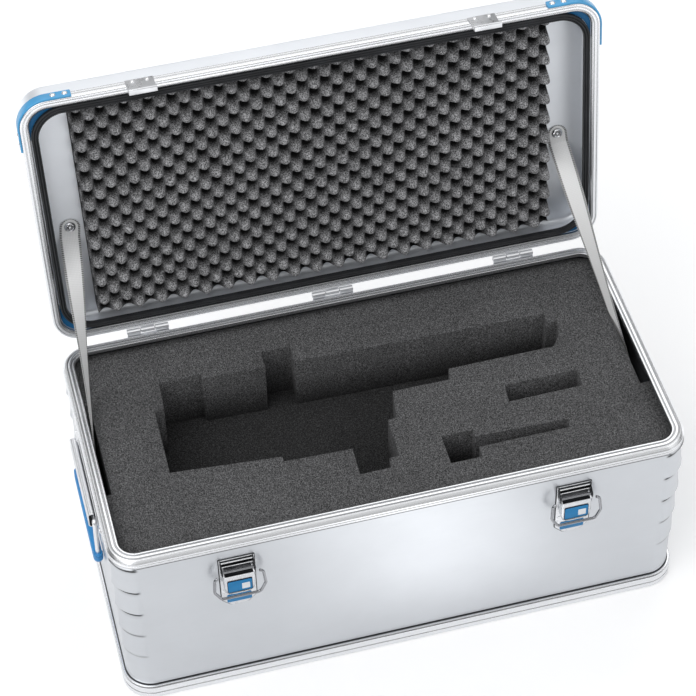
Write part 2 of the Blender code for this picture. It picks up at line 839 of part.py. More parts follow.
def latch_plate(name, x):
    """Back plate with a chamfered foot and an ear each side for the lever's pin."""
    half = PLATE_HALF_WIDTH
    outline = [
        (-half, PLATE_HIGH), (-half, PLATE_LOW + PLATE_CHAMFER), (-half + PLATE_CHAMFER, PLATE_LOW),
        (half - PLATE_CHAMFER, PLATE_LOW), (half, PLATE_LOW + PLATE_CHAMFER), (half, PLATE_HIGH),
    ]
    place = moved(x, out_y(GAP + SHEET / 2), 0) @ FRONT
    obj = plate(f"latch_plate_{name}", [outline], SHEET, "aluminium", place)
    root = out_y(GAP + SHEET / 2)
    axis_y = out_y(LATCH_AXIS_OUT)
    low = LATCH_AXIS_Z - EAR_RADIUS
    ear = [(root, PLATE_HIGH), (root, low)]
    for step in range(7):
        turn = -pi / 2 - pi * step / 9
        ear.append((axis_y + EAR_RADIUS * cos(turn), LATCH_AXIS_Z + EAR_RADIUS * sin(turn)))
    bore = circle(axis_y, LATCH_AXIS_Z, LATCH_PIN_RADIUS + BORE_CLEAR, 12)
    for side in (-1, 1):
        middle = x + side * (EAR_INNER + EAR_SHEET / 2)
        ear_place = moved(middle, 0, 0) @ SIDE
        ear_piece = plate(f"latch_ear_{name}_{side}", [ear, bore], EAR_SHEET, None, ear_place)
        combine(obj, ear_piece, "UNION")


def latch_pin(name, x):
    reach = EAR_INNER + EAR_SHEET + BORE_CLEAR
    profile = circle(out_y(LATCH_AXIS_OUT), LATCH_AXIS_Z, LATCH_PIN_RADIUS, 12)
    place = moved(x, 0, 0) @ SIDE
    plate(f"latch_pin_{name}", [profile], 2 * reach, "bright_steel", place)


def latch_strip(name, x):
    """Plain coloured strip low on the back plate."""
    half = BADGE_HALF_WIDTH
    outline = [(-half, 0), (half, 0), (half, STRIP_HEIGHT), (-half, STRIP_HEIGHT)]
    out = GAP + SHEET + GAP + BADGE_THICKNESS / 2
    place = moved(x, out_y(out), STRIP_LOW) @ FRONT
    plate(f"latch_strip_{name}", [outline], BADGE_THICKNESS, "blue_plastic", place)


def latch_lever(name, x):
    """Cup-shaped lever, open at the top, with rounded lower corners."""
    half = LEVER_HALF_WIDTH
    depth = LEVER_FRONT_OUT - LEVER_BACK_OUT
    outline = filleted([
        (-half, LEVER_BACK_HIGH, 0), (-half, LEVER_LOW, LEVER_ROUND),
        (half, LEVER_LOW, LEVER_ROUND), (half, LEVER_BACK_HIGH, 0),
    ])
    place = moved(x, out_y(LEVER_BACK_OUT + depth / 2), 0) @ FRONT
    obj = plate(f"latch_lever_{name}", [outline], depth, "aluminium", place)
    inner = half - LEVER_SHEET
    cavity = filleted([
        (-inner, LEVER_BACK_HIGH + OVERRUN, 0),
        (-inner, LEVER_LOW + LEVER_SHEET, LEVER_ROUND - LEVER_SHEET),
        (inner, LEVER_LOW + LEVER_SHEET, LEVER_ROUND - LEVER_SHEET),
        (inner, LEVER_BACK_HIGH + OVERRUN, 0),
    ])
    hollow = plate(f"lever_hollow_{name}", [cavity], depth - 2 * LEVER_SHEET, None, place)
    combine(obj, hollow)
    front = out_y(LEVER_FRONT_OUT)
    back = out_y(LEVER_BACK_OUT)
    axis_y = out_y(LATCH_AXIS_OUT)
    slope = [
        (front - OVERRUN, LEVER_HIGH), (front + LEVER_SHEET, LEVER_HIGH),
        (axis_y, LATCH_AXIS_Z + LEVER_ROUND / 3), (back - LEVER_SHEET, LEVER_BACK_HIGH),
        (back + OVERRUN, LEVER_BACK_HIGH), (back + OVERRUN, LEVER_BACK_HIGH + 2 * OVERRUN),
        (front - OVERRUN, LEVER_BACK_HIGH + 2 * OVERRUN),
    ]
    side_place = moved(x, 0, 0) @ SIDE
    combine(obj, plate(f"lever_slope_{name}", [slope], 3 * half, None, side_place))
    holes = (
        ("pin", axis_y, LATCH_AXIS_Z, LATCH_PIN_RADIUS + BORE_CLEAR),
        ("bail", out_y(BAIL_PIVOT_OUT), BAIL_PIVOT_Z, BAIL_RADIUS + BORE_CLEAR),
    )
    for label, hole_y, hole_z, radius in holes:
        hole = circle(hole_y, hole_z, radius, 12)
        combine(obj, plate(f"lever_{label}_hole_{name}", [hole], 3 * half, None, side_place))


def latch_badge(name, x):
    """Plain coloured plate on the lever's front."""
    half = BADGE_HALF_WIDTH
    outline = [(-half, 0), (half, 0), (half, BADGE_HEIGHT), (-half, BADGE_HEIGHT)]
    out = LEVER_FRONT_OUT + GAP + BADGE_THICKNESS / 2
    place = moved(x, out_y(out), BADGE_LOW) @ FRONT
    plate(f"latch_badge_{name}", [outline], BADGE_THICKNESS, "blue_plastic", place)


def bail_direction():
    """Unit y and z from the bail's pivot to its bar when it hangs against the lever."""
    bar_out = LEVER_FRONT_OUT + BADGE_THICKNESS + 2 * GAP + BAIL_RADIUS - BAIL_PIVOT_OUT
    return Vector((0, -bar_out, -(BAIL_LENGTH**2 - bar_out**2) ** 0.5)) / BAIL_LENGTH


def latch_bail(name, x):
    """Wire loop that hangs from the lever's sides."""
    pivot = Vector((0, out_y(BAIL_PIVOT_OUT), BAIL_PIVOT_Z))
    bar = pivot + bail_direction() * BAIL_LENGTH
    half = Vector((BAIL_HALF_WIDTH, 0, 0))
    stub = Vector((BAIL_STUB, 0, 0))
    points = [pivot - stub, pivot - half, bar - half, bar + half, pivot + half, pivot + stub]
    path = bent(points, BAIL_BEND)
    rod(f"latch_bail_{name}", path, BAIL_RADIUS, "bright_steel", 2, moved(x, 0, 0))


def latches():
    for side, name in ((-1, "left"), (1, "right")):
        x = side * LATCH_X
        latch_plate(name, x)
        latch_pin(name, x)
        latch_strip(name, x)
        lever_axis = (x, out_y(LATCH_AXIS_OUT), LATCH_AXIS_Z)
        bail_axis = (x, out_y(BAIL_PIVOT_OUT), BAIL_PIVOT_Z)
        hang(
            f"latch_lever_axis_{name}", lever_axis,
            (lambda: latch_lever(name, x), lambda: latch_badge(name, x)),
        )
        hang(f"latch_bail_axis_{name}", bail_axis, (lambda: latch_bail(name, x),))


def out_x(side, distance):
    """World x of a place that many metres outside the end wall's face."""
    return side * (WALL_OUT_X + distance)


def handle_plate(name, side):
    half = HANDLE_PLATE_HALF
    reach = HANDLE_PLATE_HEIGHT / 2
    bend = reach * HANDLE_END_SHARE
    outline = filleted([
        (-half, -reach, bend), (half, -reach, bend), (half, reach, bend), (-half, reach, bend),
    ])
    x = out_x(side, GAP + HANDLE_PLATE_SHEET / 2)
    place = moved(x, 0, HANDLE_AXIS_Z) @ SIDE
    plate(f"handle_plate_{name}", [outline], HANDLE_PLATE_SHEET, "aluminium", place)


def handle_bracket(name, side):
    """Channel along the wall with a bore that the bow turns in."""
    near = GAP + HANDLE_PLATE_SHEET + GAP
    far = near + BRACKET_DEPTH
    rise = BRACKET_HEIGHT / 2
    corners = [(near, -rise, 0), (far, -rise, BRACKET_ROUND), (far, rise, BRACKET_ROUND), (near, rise, 0)]
    if side < 0:
        corners = [(-u, v, radius) for u, v, radius in reversed(corners)]
    outline = [(side * WALL_OUT_X + u, HANDLE_AXIS_Z + v) for u, v in filleted(corners)]
    bore = circle(out_x(side, HANDLE_AXIS_OUT), HANDLE_AXIS_Z, BOW_RADIUS + BORE_CLEAR, 12)
    plate(f"handle_bracket_{name}", [outline, bore], 2 * BRACKET_HALF, "aluminium", FRONT)


def handle_bow(name, side):
    """Bar through the bracket, bent down at both ends into the grip."""
    top = Vector((out_x(side, HANDLE_AXIS_OUT), 0, HANDLE_AXIS_Z))
    foot = Vector((out_x(side, HANDLE_AXIS_OUT + BOW_LEAN), 0, HANDLE_AXIS_Z - BOW_DROP))
    end = top.lerp(foot, 1 - (GRIP_RETURN - GRIP_SOCKET + GAP) / BOW_DROP)
    half = Vector((0, BOW_HALF, 0))
    path = bent([end - half, top - half, top + half, end + half], BOW_BEND)
    rod(f"handle_bow_{name}", path, BOW_RADIUS, "aluminium", 2)


def handle_grip(name, side):
    """Moulded grip with a socket in each upturned end."""
    top = Vector((out_x(side, HANDLE_AXIS_OUT), 0, HANDLE_AXIS_Z))
    foot = Vector((out_x(side, HANDLE_AXIS_OUT + BOW_LEAN), 0, HANDLE_AXIS_Z - BOW_DROP))
    brim = top.lerp(foot, 1 - GRIP_RETURN / BOW_DROP)
    half = Vector((0, BOW_HALF, 0))
    path = bent([brim - half, foot - half, foot + half, brim + half], GRIP_BEND)
    obj = rod(f"handle_grip_{name}", path, GRIP_RADIUS, "blue_plastic")
    upward = (top - foot).normalized()
    for end in (-1, 1):
        start = brim + end * half - upward * GRIP_SOCKET
        stop = brim + end * half + upward * OVERRUN
        socket = rod(
            f"grip_socket_{name}_{end}", [start, stop], BOW_RADIUS + BORE_CLEAR, None, 2
        )
        combine(obj, socket)


def handles():
    for side, name in ((-1, "left"), (1, "right")):
        handle_plate(name, side)
        handle_bracket(name, side)
        axis = (out_x(side, HANDLE_AXIS_OUT), 0, HANDLE_AXIS_Z)
        hang(
            f"handle_axis_{name}", axis,
            (lambda: handle_bow(name, side), lambda: handle_grip(name, side)),
        )


def opened(point):
    """Where a point of the shut lid stands when the lid is open."""
    turn = Matrix.Rotation(radians(-OPEN_ANGLE), 4, "X")
    return HINGE_AXIS + turn @ (Vector(point) - HINGE_AXIS)


def strap_ends(side):
    """Upper end on the lid's panel and lower end on the end wall, with the lid open."""
    standing = PANEL_UNDER - GAP - STRAP_THICKNESS / 2
    upper = opened((side * (HALF_X - STRAP_TOP_INSET), STRAP_TOP_Y, standing))
    low_x = side * (HALF_X - STRAP_LOW_INSET)
    lower = Vector((low_x, STRAP_LOW_Y, RIM_TOP - STRAP_LOW_DROP))
    return lower, upper


def strap_section(centre, across, through):
    """Corners of the strap's cross-section, its width and thickness along two directions."""
    wide = across.normalized() * STRAP_HALF_WIDTH
    thick = through.normalized() * STRAP_THICKNESS / 2
    return [centre - wide - thick, centre + wide - thick, centre + wide + thick, centre - wide + thick]


def strap(name, side):
    """Webbing stay, flat on the end wall below and turned to lie flat on the lid's panel."""
    lower, rivet = strap_ends(side)
    off_panel = opened((0, 0, 0)) - opened((0, 0, 1))
    pull = lower - rivet
    down_panel = (pull - off_panel * pull.dot(off_panel)).normalized()
    bend = rivet + down_panel * STRAP_FLAT
    along = (bend - lower).normalized()
    across_low = Vector((side, 0, 0)).cross(along).normalized()
    across_high = off_panel.cross(down_panel)
    if across_low.dot(across_high) < 0:
        across_high.negate()
    rows = []
    for step in range(STRAP_STEPS):
        share = step / STRAP_STEPS
        across = across_low.lerp(across_high, share**2)
        rows.append(strap_section(lower.lerp(bend, share), across, across.cross(along)))
    leaving = across_high.cross(along)
    lying = across_high.cross(-down_panel)
    rows.append(strap_section(bend, across_high, leaving + lying))
    rows.append(strap_section(rivet - down_panel * STRAP_BEYOND, across_high, lying))
    made = lofted(f"strap_{name}", rows, "webbing", "cap")
    work = bmesh.new()
    work.from_mesh(made.data)
    bmesh.ops.triangulate(work, faces=work.faces)
    work.to_mesh(made.data)
    work.free()
    return made


def strap_anchor(name, side):
    """Rivet plate on the inside of the end wall behind the strap's lower end."""
    lower, _ = strap_ends(side)
    inner_face = HALF_X - WALL_IN_INSET
    x = side * (inner_face - GAP - ANCHOR_THICKNESS / 2)
    place = moved(x, 0, 0) @ SIDE
    outline = circle(lower.y, lower.z, ANCHOR_RADIUS)
    plate(f"strap_anchor_{name}", [outline], ANCHOR_THICKNESS, "bright_steel", place)


def mirrored(obj, name):
    """A copy of a solid on the case's other side, its faces turned outwards again."""
    mesh = obj.data.copy()
    mesh.transform(Matrix.Scale(-1, 4, (1, 0, 0)))
    mesh.flip_normals()
    mesh.name = name
    copy = bpy.data.objects.new(name, mesh)
    PARTS.objects.link(copy)


def straps():
    mirrored(strap("left", -1), "strap_right")
    strap_anchor("left", -1)
    strap_anchor("right", 1)


def strap_rivets():
    """Domed rivets that hold the straps' upper ends to the lid's panel."""
    standing = PANEL_UNDER - 2 * GAP - STRAP_THICKNESS
    for side, name in ((-1, "left"), (1, "right")):
        x = side * (HALF_X - STRAP_TOP_INSET)
        profile = [
            (0, RIVET_HEIGHT), (RIVET_RADIUS / 2, RIVET_HEIGHT * 3 / 4),
            (RIVET_RADIUS, RIVET_HEIGHT / 4), (RIVET_RADIUS, 0), (0, 0),
        ]
        place = moved(x, STRAP_TOP_Y, standing) @ Matrix.Rotation(pi, 4, "X")
        rivet = turned(f"strap_rivet_{name}", profile, "bright_steel", place)
        rivet.data.shade_smooth()


def base():
    base_shell()
    base_rim()
    base_foot_frame()
    base_floor()
    foam_insert()
    foam_base()
    base_hinge_leaves()
    latches()
    handles()


def lid():
    makers = (
        lid_shell, lid_rim, lid_seal, lid_corners, corner_pads, lid_foam,
        lid_catches, lid_hinge_leaves, strap_rivets,
    )
    hang("lid_hinge_axis", HINGE_AXIS, makers, -OPEN_ANGLE)


def main():
    clear_scene()
    base()
    lid()
    straps()


main()
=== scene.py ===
"""Looks of the aluminium storage case, shown open on a pale floor.

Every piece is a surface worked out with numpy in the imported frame's own metres: a closed
section carried round the case, a bar or sheet carried along a path, or an outline given a
thickness with eased edges. The cut foam alone comes from filled flat curves. The lid's
pieces are drawn shut and swung open together, and its straps are drawn open.
"""

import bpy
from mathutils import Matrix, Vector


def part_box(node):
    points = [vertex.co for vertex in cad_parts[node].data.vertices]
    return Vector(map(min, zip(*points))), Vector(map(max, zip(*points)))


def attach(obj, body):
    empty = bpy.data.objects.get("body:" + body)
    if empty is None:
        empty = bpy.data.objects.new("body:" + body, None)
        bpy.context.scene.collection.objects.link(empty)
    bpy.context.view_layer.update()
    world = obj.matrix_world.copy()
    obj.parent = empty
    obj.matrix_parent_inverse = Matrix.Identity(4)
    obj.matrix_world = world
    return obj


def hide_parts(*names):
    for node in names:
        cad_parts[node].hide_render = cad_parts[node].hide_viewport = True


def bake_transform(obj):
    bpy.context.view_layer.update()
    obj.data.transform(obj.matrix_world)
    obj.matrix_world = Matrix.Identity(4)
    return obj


bl_info = {
    "name": "Aluminium Storage Case",
    "version": (1, 0, 0),
    "blender": (4, 5, 0),
    "location": "View3D > Sidebar > Storage Case",
    "description": "Finished surfaces for an aluminium storage case with cut foam",
    "category": "Object",
}

from math import cos, pi, radians, sin

import bmesh
import bpy
import numpy as np
from bpy.props import FloatProperty, FloatVectorProperty, IntProperty, PointerProperty
from mathutils import Matrix, Vector

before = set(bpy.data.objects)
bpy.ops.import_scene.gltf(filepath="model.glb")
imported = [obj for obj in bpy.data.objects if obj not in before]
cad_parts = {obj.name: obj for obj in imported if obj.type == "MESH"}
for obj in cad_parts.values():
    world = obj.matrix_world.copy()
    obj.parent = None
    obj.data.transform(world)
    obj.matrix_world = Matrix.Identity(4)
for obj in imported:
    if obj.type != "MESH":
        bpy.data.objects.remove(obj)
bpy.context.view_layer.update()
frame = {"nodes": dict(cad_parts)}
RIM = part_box("base_rim")[1]
HINGE_AXIS = np.array((0, RIM.y + 0.0045, RIM.z + 0.0005))
SIDES = (("left", -1), ("right", 1))
QUARTERS = ("rear_right", "rear_left", "front_left", "front_right")

# Ways for a slab: where the two axes of its outline and its thickness point.
FRONT = ((1, 0, 0), (0, 0, 1), (0, -1, 0))
BACK = ((1, 0, 0), (0, 0, 1), (0, 1, 0))
ACROSS = ((0, 1, 0), (0, 0, 1), (1, 0, 0))
TOP = ((1, 0, 0), (0, 1, 0), (0, 0, 1))

# The room left between two pieces that lie on each other, and a millimetre.
GAP = 0.0003
MM = 0.001


def length(label, words, value):
    """A length property in metres."""
    return FloatProperty(
        name=label, description=words, default=value, min=0, precision=5, unit="LENGTH",
    )


def angle(label, words, degrees):
    """An angle property."""
    return FloatProperty(name=label, description=words, default=radians(degrees), subtype="ANGLE")


def colour(label, words, value):
    """A linear colour property."""
    return FloatVectorProperty(
        name=label, description=words, default=value, min=0, max=1, subtype="COLOR",
    )


class CaseSizes(bpy.types.PropertyGroup):
    """Sizes of the base"""
    half_x: length("Half length", "Half of the case's length", RIM.x)
    half_y: length("Half width", "Half of the case's width", RIM.y)
    rim_top: length("Rim height", "Height of the base's rim above the floor", RIM.z)
    corner_radius: length("Corner radius", "Radius of the case's corners", 0.040)
    wall_inset: length("Wall inset", "How far the wall lies inside the frames", 0.0025)
    sheet: length("Sheet", "Thickness of the wall sheet", 0.0015)
    rib_depth: length("Rib depth", "How far the ribs are pressed out at the corners", 0.0044)
    rib_end: angle("Rib end", "Angle left plain at each end of a corner's arc", 6)
    rib_pitch: length("Rib spacing", "Height from one rib to the next", 0.0485)
    rib_count: IntProperty(name="Ribs", description="Ribs at each corner", default=5, min=1, max=5)


class LidSizes(bpy.types.PropertyGroup):
    """Sizes of the lid"""
    low: length("Lid edge", "Height of the shut lid's lower edge", 0.3075)
    height: length("Lid height", "Height of the lid", 0.0485)
    edge_radius: length("Edge radius", "Radius between the lid's wall and top", 0.010)
    rim_depth: length("Rim depth", "Width of the lid's rim plate", 0.012)
    seal_radius: length("Seal radius", "Radius of the seal's corners", 0.060)
    wing: length("Wing", "How far a corner moulding runs along each side", 0.034)
    open_angle: angle("Open angle", "Angle at which the lid stands open", 98.3)


class FoamSizes(bpy.types.PropertyGroup):
    """Sizes of the foams"""
    top: length("Foam height", "Height of the cut foam's top", 0.287)
    depth: length("Pocket depth", "Depth of the pockets", 0.092)
    inset: length("Foam inset", "Gap between the foam and the frame's outer face", 0.007)
    crate_pitch: length("Crate pitch", "Distance from one peg to the next in a row", 0.0325)
    crate_low: length("Crate hollow", "Foam thickness at the bottom of a hollow", 0.0080)
    crate_high: length("Crate peg", "Foam thickness at the top of a peg", 0.0330)


class FittingSizes(bpy.types.PropertyGroup):
    """Sizes of the latches, handles and straps"""
    spread: length("Latch place", "Distance of each latch from the middle", 0.2345)
    plate_half: length("Plate half width", "Half width of the back plate", 0.024)
    lever_half: length("Lever half width", "Half width of the lever", 0.021)
    wire: length("Wire radius", "Radius of the bail's wire", 0.0020)
    bail_half: length("Bail half width", "Half width of the bail", 0.035)
    grip_radius: length("Grip radius", "Radius of the handle's grip", 0.0068)
    strap_half: length("Strap half width", "Half width of a lid stay strap", 0.0145)


class Finishes(bpy.types.PropertyGroup):
    """Colours of the case and its floor"""
    sheet: colour("Sheet", "Aluminium sheet", (0.655, 0.675, 0.705))
    frame: colour("Frame", "Aluminium frames", (0.78, 0.79, 0.81))
    plate: colour("Latch metal", "Latch plates and levers", (0.66, 0.67, 0.69))
    wire: colour("Wire", "Bright steel wire", (0.28, 0.285, 0.30))
    blue: colour("Blue", "Blue mouldings, grips and plates", (0.018, 0.235, 0.560))
    foam: colour("Foam", "Dark foam", (0.050, 0.050, 0.051))
    rubber: colour("Seal", "Rubber seal", (0.015, 0.016, 0.018))
    webbing: colour("Webbing", "Strap webbing", (0.94, 0.94, 0.93))
    floor: colour("Floor", "Studio floor", (0.98, 0.98, 0.98))


def unit(vectors):
    """Each vector over its own length."""
    return vectors / np.linalg.norm(vectors, axis=-1, keepdims=True)


def eased(corners, radii, steps=4):
    """An outline or path with round corners.

    Each corner's arc swings from its tangent point on the side before to the one on the
    side after: middle + (sin((1-t)a) start + sin(ta) end) / sin(a), a being the arc's angle.
    """
    corners = np.asarray(corners, float)
    radii = np.broadcast_to(np.asarray(radii, float), len(corners))[:, None]
    back = unit(np.roll(corners, 1, axis=0) - corners)
    ahead = unit(np.roll(corners, -1, axis=0) - corners)
    half = np.arccos(np.clip((back * ahead).sum(axis=1), -1, 1))[:, None] / 2
    middle = corners + unit(back + ahead) * radii / np.sin(half)
    start = corners + back * radii / np.tan(half) - middle
    end = corners + ahead * radii / np.tan(half) - middle
    share = np.linspace(0, 1, steps + 1)[None, :, None]
    swing = (pi - 2 * half)[:, None]
    arc = np.sin((1 - share) * swing) * start[:, None] + np.sin(share * swing) * end[:, None]
    return (middle[:, None] + arc / np.sin(swing)).reshape(-1, corners.shape[1])


def rounded(rows, steps=4):
    """An outline from rows of (across, up, corner radius)."""
    rows = np.array(rows, float)
    return eased(rows[:, :2], rows[:, 2], steps)


def rectangle(left, right, low, high, radius, steps):
    """A rectangle with round corners."""
    return eased([(left, low), (right, low), (right, high), (left, high)], radius, steps)


def mirrored(rows, column=0):
    """The mirror image of half an outline's rows, then the rows themselves backwards."""
    rows = np.array(rows, float)
    other = rows.copy()
    other[:, column] *= -1
    return np.concatenate((other, rows[::-1]))


def path_of(points, radius, steps=8):
    """An open path with round inner corners; its two ends stay where they are."""
    radii = np.full(len(points), float(radius))
    radii[[0, -1]] = 0
    path = eased(points, radii, steps)
    return path[steps:len(path) - steps]


def case_path(radius, quarters=range(4), stops=(), steps=14):
    """Places round the case's outline and the outward direction at each.

    A place is its corner's centre plus the radius along the direction at that bearing,
    and the stops are distances on along the straight side from each end of the arc.
    """
    sizes = bpy.context.scene.case_sizes
    quarters = np.array(quarters)
    signs = np.array([[1, 1], [-1, 1], [-1, -1], [1, -1]])[quarters]
    centre = signs * (np.array([sizes.half_x, sizes.half_y]) - radius)
    stops = np.asarray(stops, float)
    turn = np.concatenate((0 * stops, np.linspace(0, pi / 2, steps + 1), 0 * stops + pi / 2))
    along = np.concatenate((-stops[::-1], np.zeros(steps + 1), stops))
    bearing = quarters[:, None] * pi / 2 + turn
    out = np.stack((np.cos(bearing), np.sin(bearing)), axis=-1)
    tangent = np.stack((-np.sin(bearing), np.cos(bearing)), axis=-1)
    spots = centre[:, None] + out * radius + tangent * along[:, None]
    return spots.reshape(-1, 2), out.reshape(-1, 2)


def off_front(distance):
    """The y at a distance in front of the base's front wall."""
    sizes = bpy.context.scene.case_sizes
    return sizes.wall_inset - sizes.half_y - distance


def carried(path, section):
    """A section of (inset, z) carried round the case: place - outward * inset, at height z."""
    spots, out = path
    section = np.asarray(section, float)
    plan = spots[:, None] - out[:, None] * section[None, :, :1]
    rise = np.broadcast_to(section[None, :, 1:], (*plan.shape[:2], 1))
    return np.concatenate((plan, rise), axis=2)


def grid(points, rows_close=False, columns_close=False, caps=False):
    """Quads over a grid of places, with lengths along both ways as their UV map.

    Closing joins the last row or column to the first; caps fill the first and last row.
    """
    rows, columns = points.shape[:2]
    index = np.arange(rows * columns).reshape(rows, columns)
    ends = [index[0].tolist(), index[-1].tolist()]
    laid = points
    if rows_close:
        index, laid = np.vstack((index, index[:1])), np.concatenate((laid, laid[:1]))
    if columns_close:
        index = np.hstack((index, index[:, :1]))
        laid = np.concatenate((laid, laid[:, :1]), axis=1)
    down = np.linalg.norm(np.diff(laid, axis=0), axis=2).mean(axis=1)
    over = np.linalg.norm(np.diff(laid, axis=1), axis=2).mean(axis=0)
    u, v = np.meshgrid(np.append(0, down.cumsum()), np.append(0, over.cumsum()), indexing="ij")
    uv = np.stack((u, v), axis=-1)
    quads, marks = (
        np.stack((item[:-1, :-1], item[1:, :-1], item[1:, 1:], item[:-1, 1:]), axis=2)
        for item in (index, uv)
    )
    faces, marks = quads.reshape(-1, 4).tolist(), marks.reshape(-1, 2)
    if caps:
        faces += ends
        marks = np.concatenate((marks, np.zeros((2 * columns, 2))))
    return points.reshape(-1, 3), faces, marks


def slab(outline, thickness, origin, ways, edge=0.0004, steps=2):
    """An outline given a thickness along the third of its ways, its edges eased.

    A row is the outline moved in along its own normals by edge (1 - sin t) at the height
    edge (1 - cos t), mirrored for the far side.
    """
    outline = np.asarray(outline, float)
    ahead = np.roll(outline, -1, axis=0)
    if np.sum(outline[:, 0] * ahead[:, 1] - ahead[:, 0] * outline[:, 1]) < 0:
        outline = outline[::-1]
    run = unit(np.roll(outline, -1, axis=0) - np.roll(outline, 1, axis=0))
    normal = np.stack((run[:, 1], -run[:, 0]), axis=1)
    turn = np.linspace(0, pi / 2, steps + 1)
    inset = edge * (1 - np.sin(turn))
    height = edge * (1 - np.cos(turn))
    inset = np.concatenate((inset, inset[::-1]))
    height = np.concatenate((height, thickness - height[::-1]))
    flat = outline[None] - normal[None] * inset[:, None, None]
    rise = np.broadcast_to(height[:, None, None], (*flat.shape[:2], 1))
    points = np.asarray(origin) + np.concatenate((flat, rise), axis=2) @ np.array(ways, float)
    return grid(points, columns_close=True, caps=True)


def bar(path, normal, radius, sides=12, closed=False):
    """A round bar along a flat path: place + radius (cos a N + sin a T x N).

    N is the path's own plane normal, and the radius may change along the path.
    """
    path = np.asarray(path, float)
    if closed:
        run = unit(np.roll(path, -1, axis=0) - np.roll(path, 1, axis=0))
    else:
        run = unit(np.gradient(path, axis=0))
    normal = np.broadcast_to(unit(np.asarray(normal, float)), path.shape)
    cross = unit(np.cross(run, normal))
    radius = np.broadcast_to(radius, len(path))[:, None, None]
    turn = np.linspace(0, 2 * pi, sides, endpoint=False)[None, :, None]
    points = path[:, None] + radius * (np.cos(turn) * normal[:, None] + np.sin(turn) * cross[:, None])
    return grid(points, rows_close=closed, columns_close=True, caps=not closed)


def turned(profile, origin, axis, sides=28, caps=True):
    """Rows of (radius, height) in millimetres turned about an axis.

    A place is the origin + radius (cos a U + sin a V) + height along the axis.
    """
    axis = unit(np.asarray(axis, float))
    first = unit(np.cross(axis, (0.3, 0.5, 0.8)))
    second = np.cross(axis, first)
    profile = np.asarray(profile, float)[..., None] * MM
    turn = np.linspace(0, 2 * pi, sides, endpoint=False)[None, :, None]
    flat = np.cos(turn) * first + np.sin(turn) * second
    points = np.asarray(origin) + profile[:, :1] * flat + profile[:, 1:] * axis
    return grid(points, columns_close=True, caps=caps)


def dome(centre, axis, radius, height):
    """A rivet head in millimetres: radius cos t round the axis, height sin t along it."""
    rise = np.linspace(0, pi / 2, 5)
    return turned(np.stack((radius * np.cos(rise), height * np.sin(rise)), axis=1), centre, axis, 14)


def lid_turn(spots, turn):
    """Places turned about the hinge axis: axis + (place - axis) R, R turning y and z."""
    c, s = cos(turn), sin(turn)
    return HINGE_AXIS + (spots - HINGE_AXIS) @ np.array(((1, 0, 0), (0, c, s), (0, -s, c)))


def swung(shapes):
    """Shapes of the shut lid turned back by the open angle."""
    back = -bpy.context.scene.case_lid.open_angle
    return [(lid_turn(points, back), faces, marks) for points, faces, marks in shapes]


def piece(name, shapes, finish, body, replaces="", sharp=32):
    """One object out of the shapes, merged, faced outwards, shaded and set on its body."""
    mesh = bpy.data.meshes.new(name)
    starts = np.cumsum([0] + [len(points) for points, _, _ in shapes[:-1]]).tolist()
    faces = [
        [corner + start for corner in face]
        for (_, listed, _), start in zip(shapes, starts) for face in listed
    ]
    mesh.from_pydata(np.concatenate([points for points, _, _ in shapes]), [], faces)
    layer = mesh.uv_layers.new(name="Surface")
    layer.data.foreach_set("uv", np.concatenate([marks for _, _, marks in shapes]).ravel())
    work = bmesh.new()
    work.from_mesh(mesh)
    bmesh.ops.remove_doubles(work, verts=work.verts, dist=1e-6)
    bmesh.ops.recalc_face_normals(work, faces=work.faces)
    work.to_mesh(mesh)
    work.free()
    mesh.shade_smooth()
    mesh.set_sharp_from_angle(angle=radians(sharp))
    mesh.materials.append(finish_called(finish))
    made = bpy.data.objects.new(name, mesh)
    bpy.context.scene.collection.objects.link(made)
    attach(made, body)
    if replaces:
        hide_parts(replaces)
    return made


def one_of(ending, name, shapes, finish, body, replaces="", sharp=32):
    """A piece that has a twin: its name, its node and a body of its own get the same ending."""
    if body not in ("base", "lid"):
        body = f"{body}_{ending}"
    if replaces:
        replaces = f"{replaces}_{ending}"
    return piece(f"{name}_{ending}", shapes, finish, body, replaces, sharp)


def mark(made, name, values):
    """A number for each vertex, which a finish reads by its name."""
    layer = made.data.attributes.new(name, "FLOAT", "POINT")
    layer.data.foreach_set("value", np.clip(values, 0, 1).astype(np.float32))


def places(made):
    """The x, y and z of every vertex of a piece."""
    found = np.zeros(len(made.data.vertices) * 3)
    made.data.vertices.foreach_get("co", found)
    return found.reshape(-1, 3)


def groove_shade(section, grooves):
    """Painted shade along a section's grooves (across, up, width, depth): depth exp(-(distance /
    width)^2), depth being the shade's strength.
    """
    grooves = np.array(grooves)
    gap = np.linalg.norm(section[:, None] - grooves[None, :, :2], axis=2)
    return (grooves[:, 3] * np.exp(-((gap / grooves[:, 2]) ** 2))).sum(axis=1)


def frame_piece(name, rows, grooves, base, body, replaces):
    """A frame carried round the case, with painted shade along its grooves.

    Its section is rows of (inset, up, corner radius) in millimetres, up from a base height.
    """
    section = rounded(rows)
    path = case_path(bpy.context.scene.case_sizes.corner_radius, steps=20)
    points = carried(path, section * MM + (0, base))
    shapes = [grid(points, rows_close=True, columns_close=True)]
    if body == "lid":
        shapes = swung(shapes)
    made = piece(name, shapes, "frame", body, replaces, 30)
    mark(made, "crease", np.tile(groove_shade(section, grooves), len(points)))


def plug(tree, socket, value):
    """An output joined to a socket, or a plain value or colour set on it."""
    if isinstance(value, bpy.types.NodeSocket):
        tree.links.new(value, socket)
    else:
        socket.default_value = (*value, 1) if socket.type == "RGBA" else value


def feed(tree, made, **given):
    """A node's inputs given by name, with _ for a space, and its settings in small letters."""
    for key, value in given.items():
        if key.islower():
            setattr(made, key, value)
        else:
            plug(tree, made.inputs[key.replace("_", " ")], value)


def node(tree, kind, **given):
    """A shader node with its settings and inputs given."""
    made = tree.nodes.new("ShaderNode" + kind)
    feed(tree, made, **given)
    return made


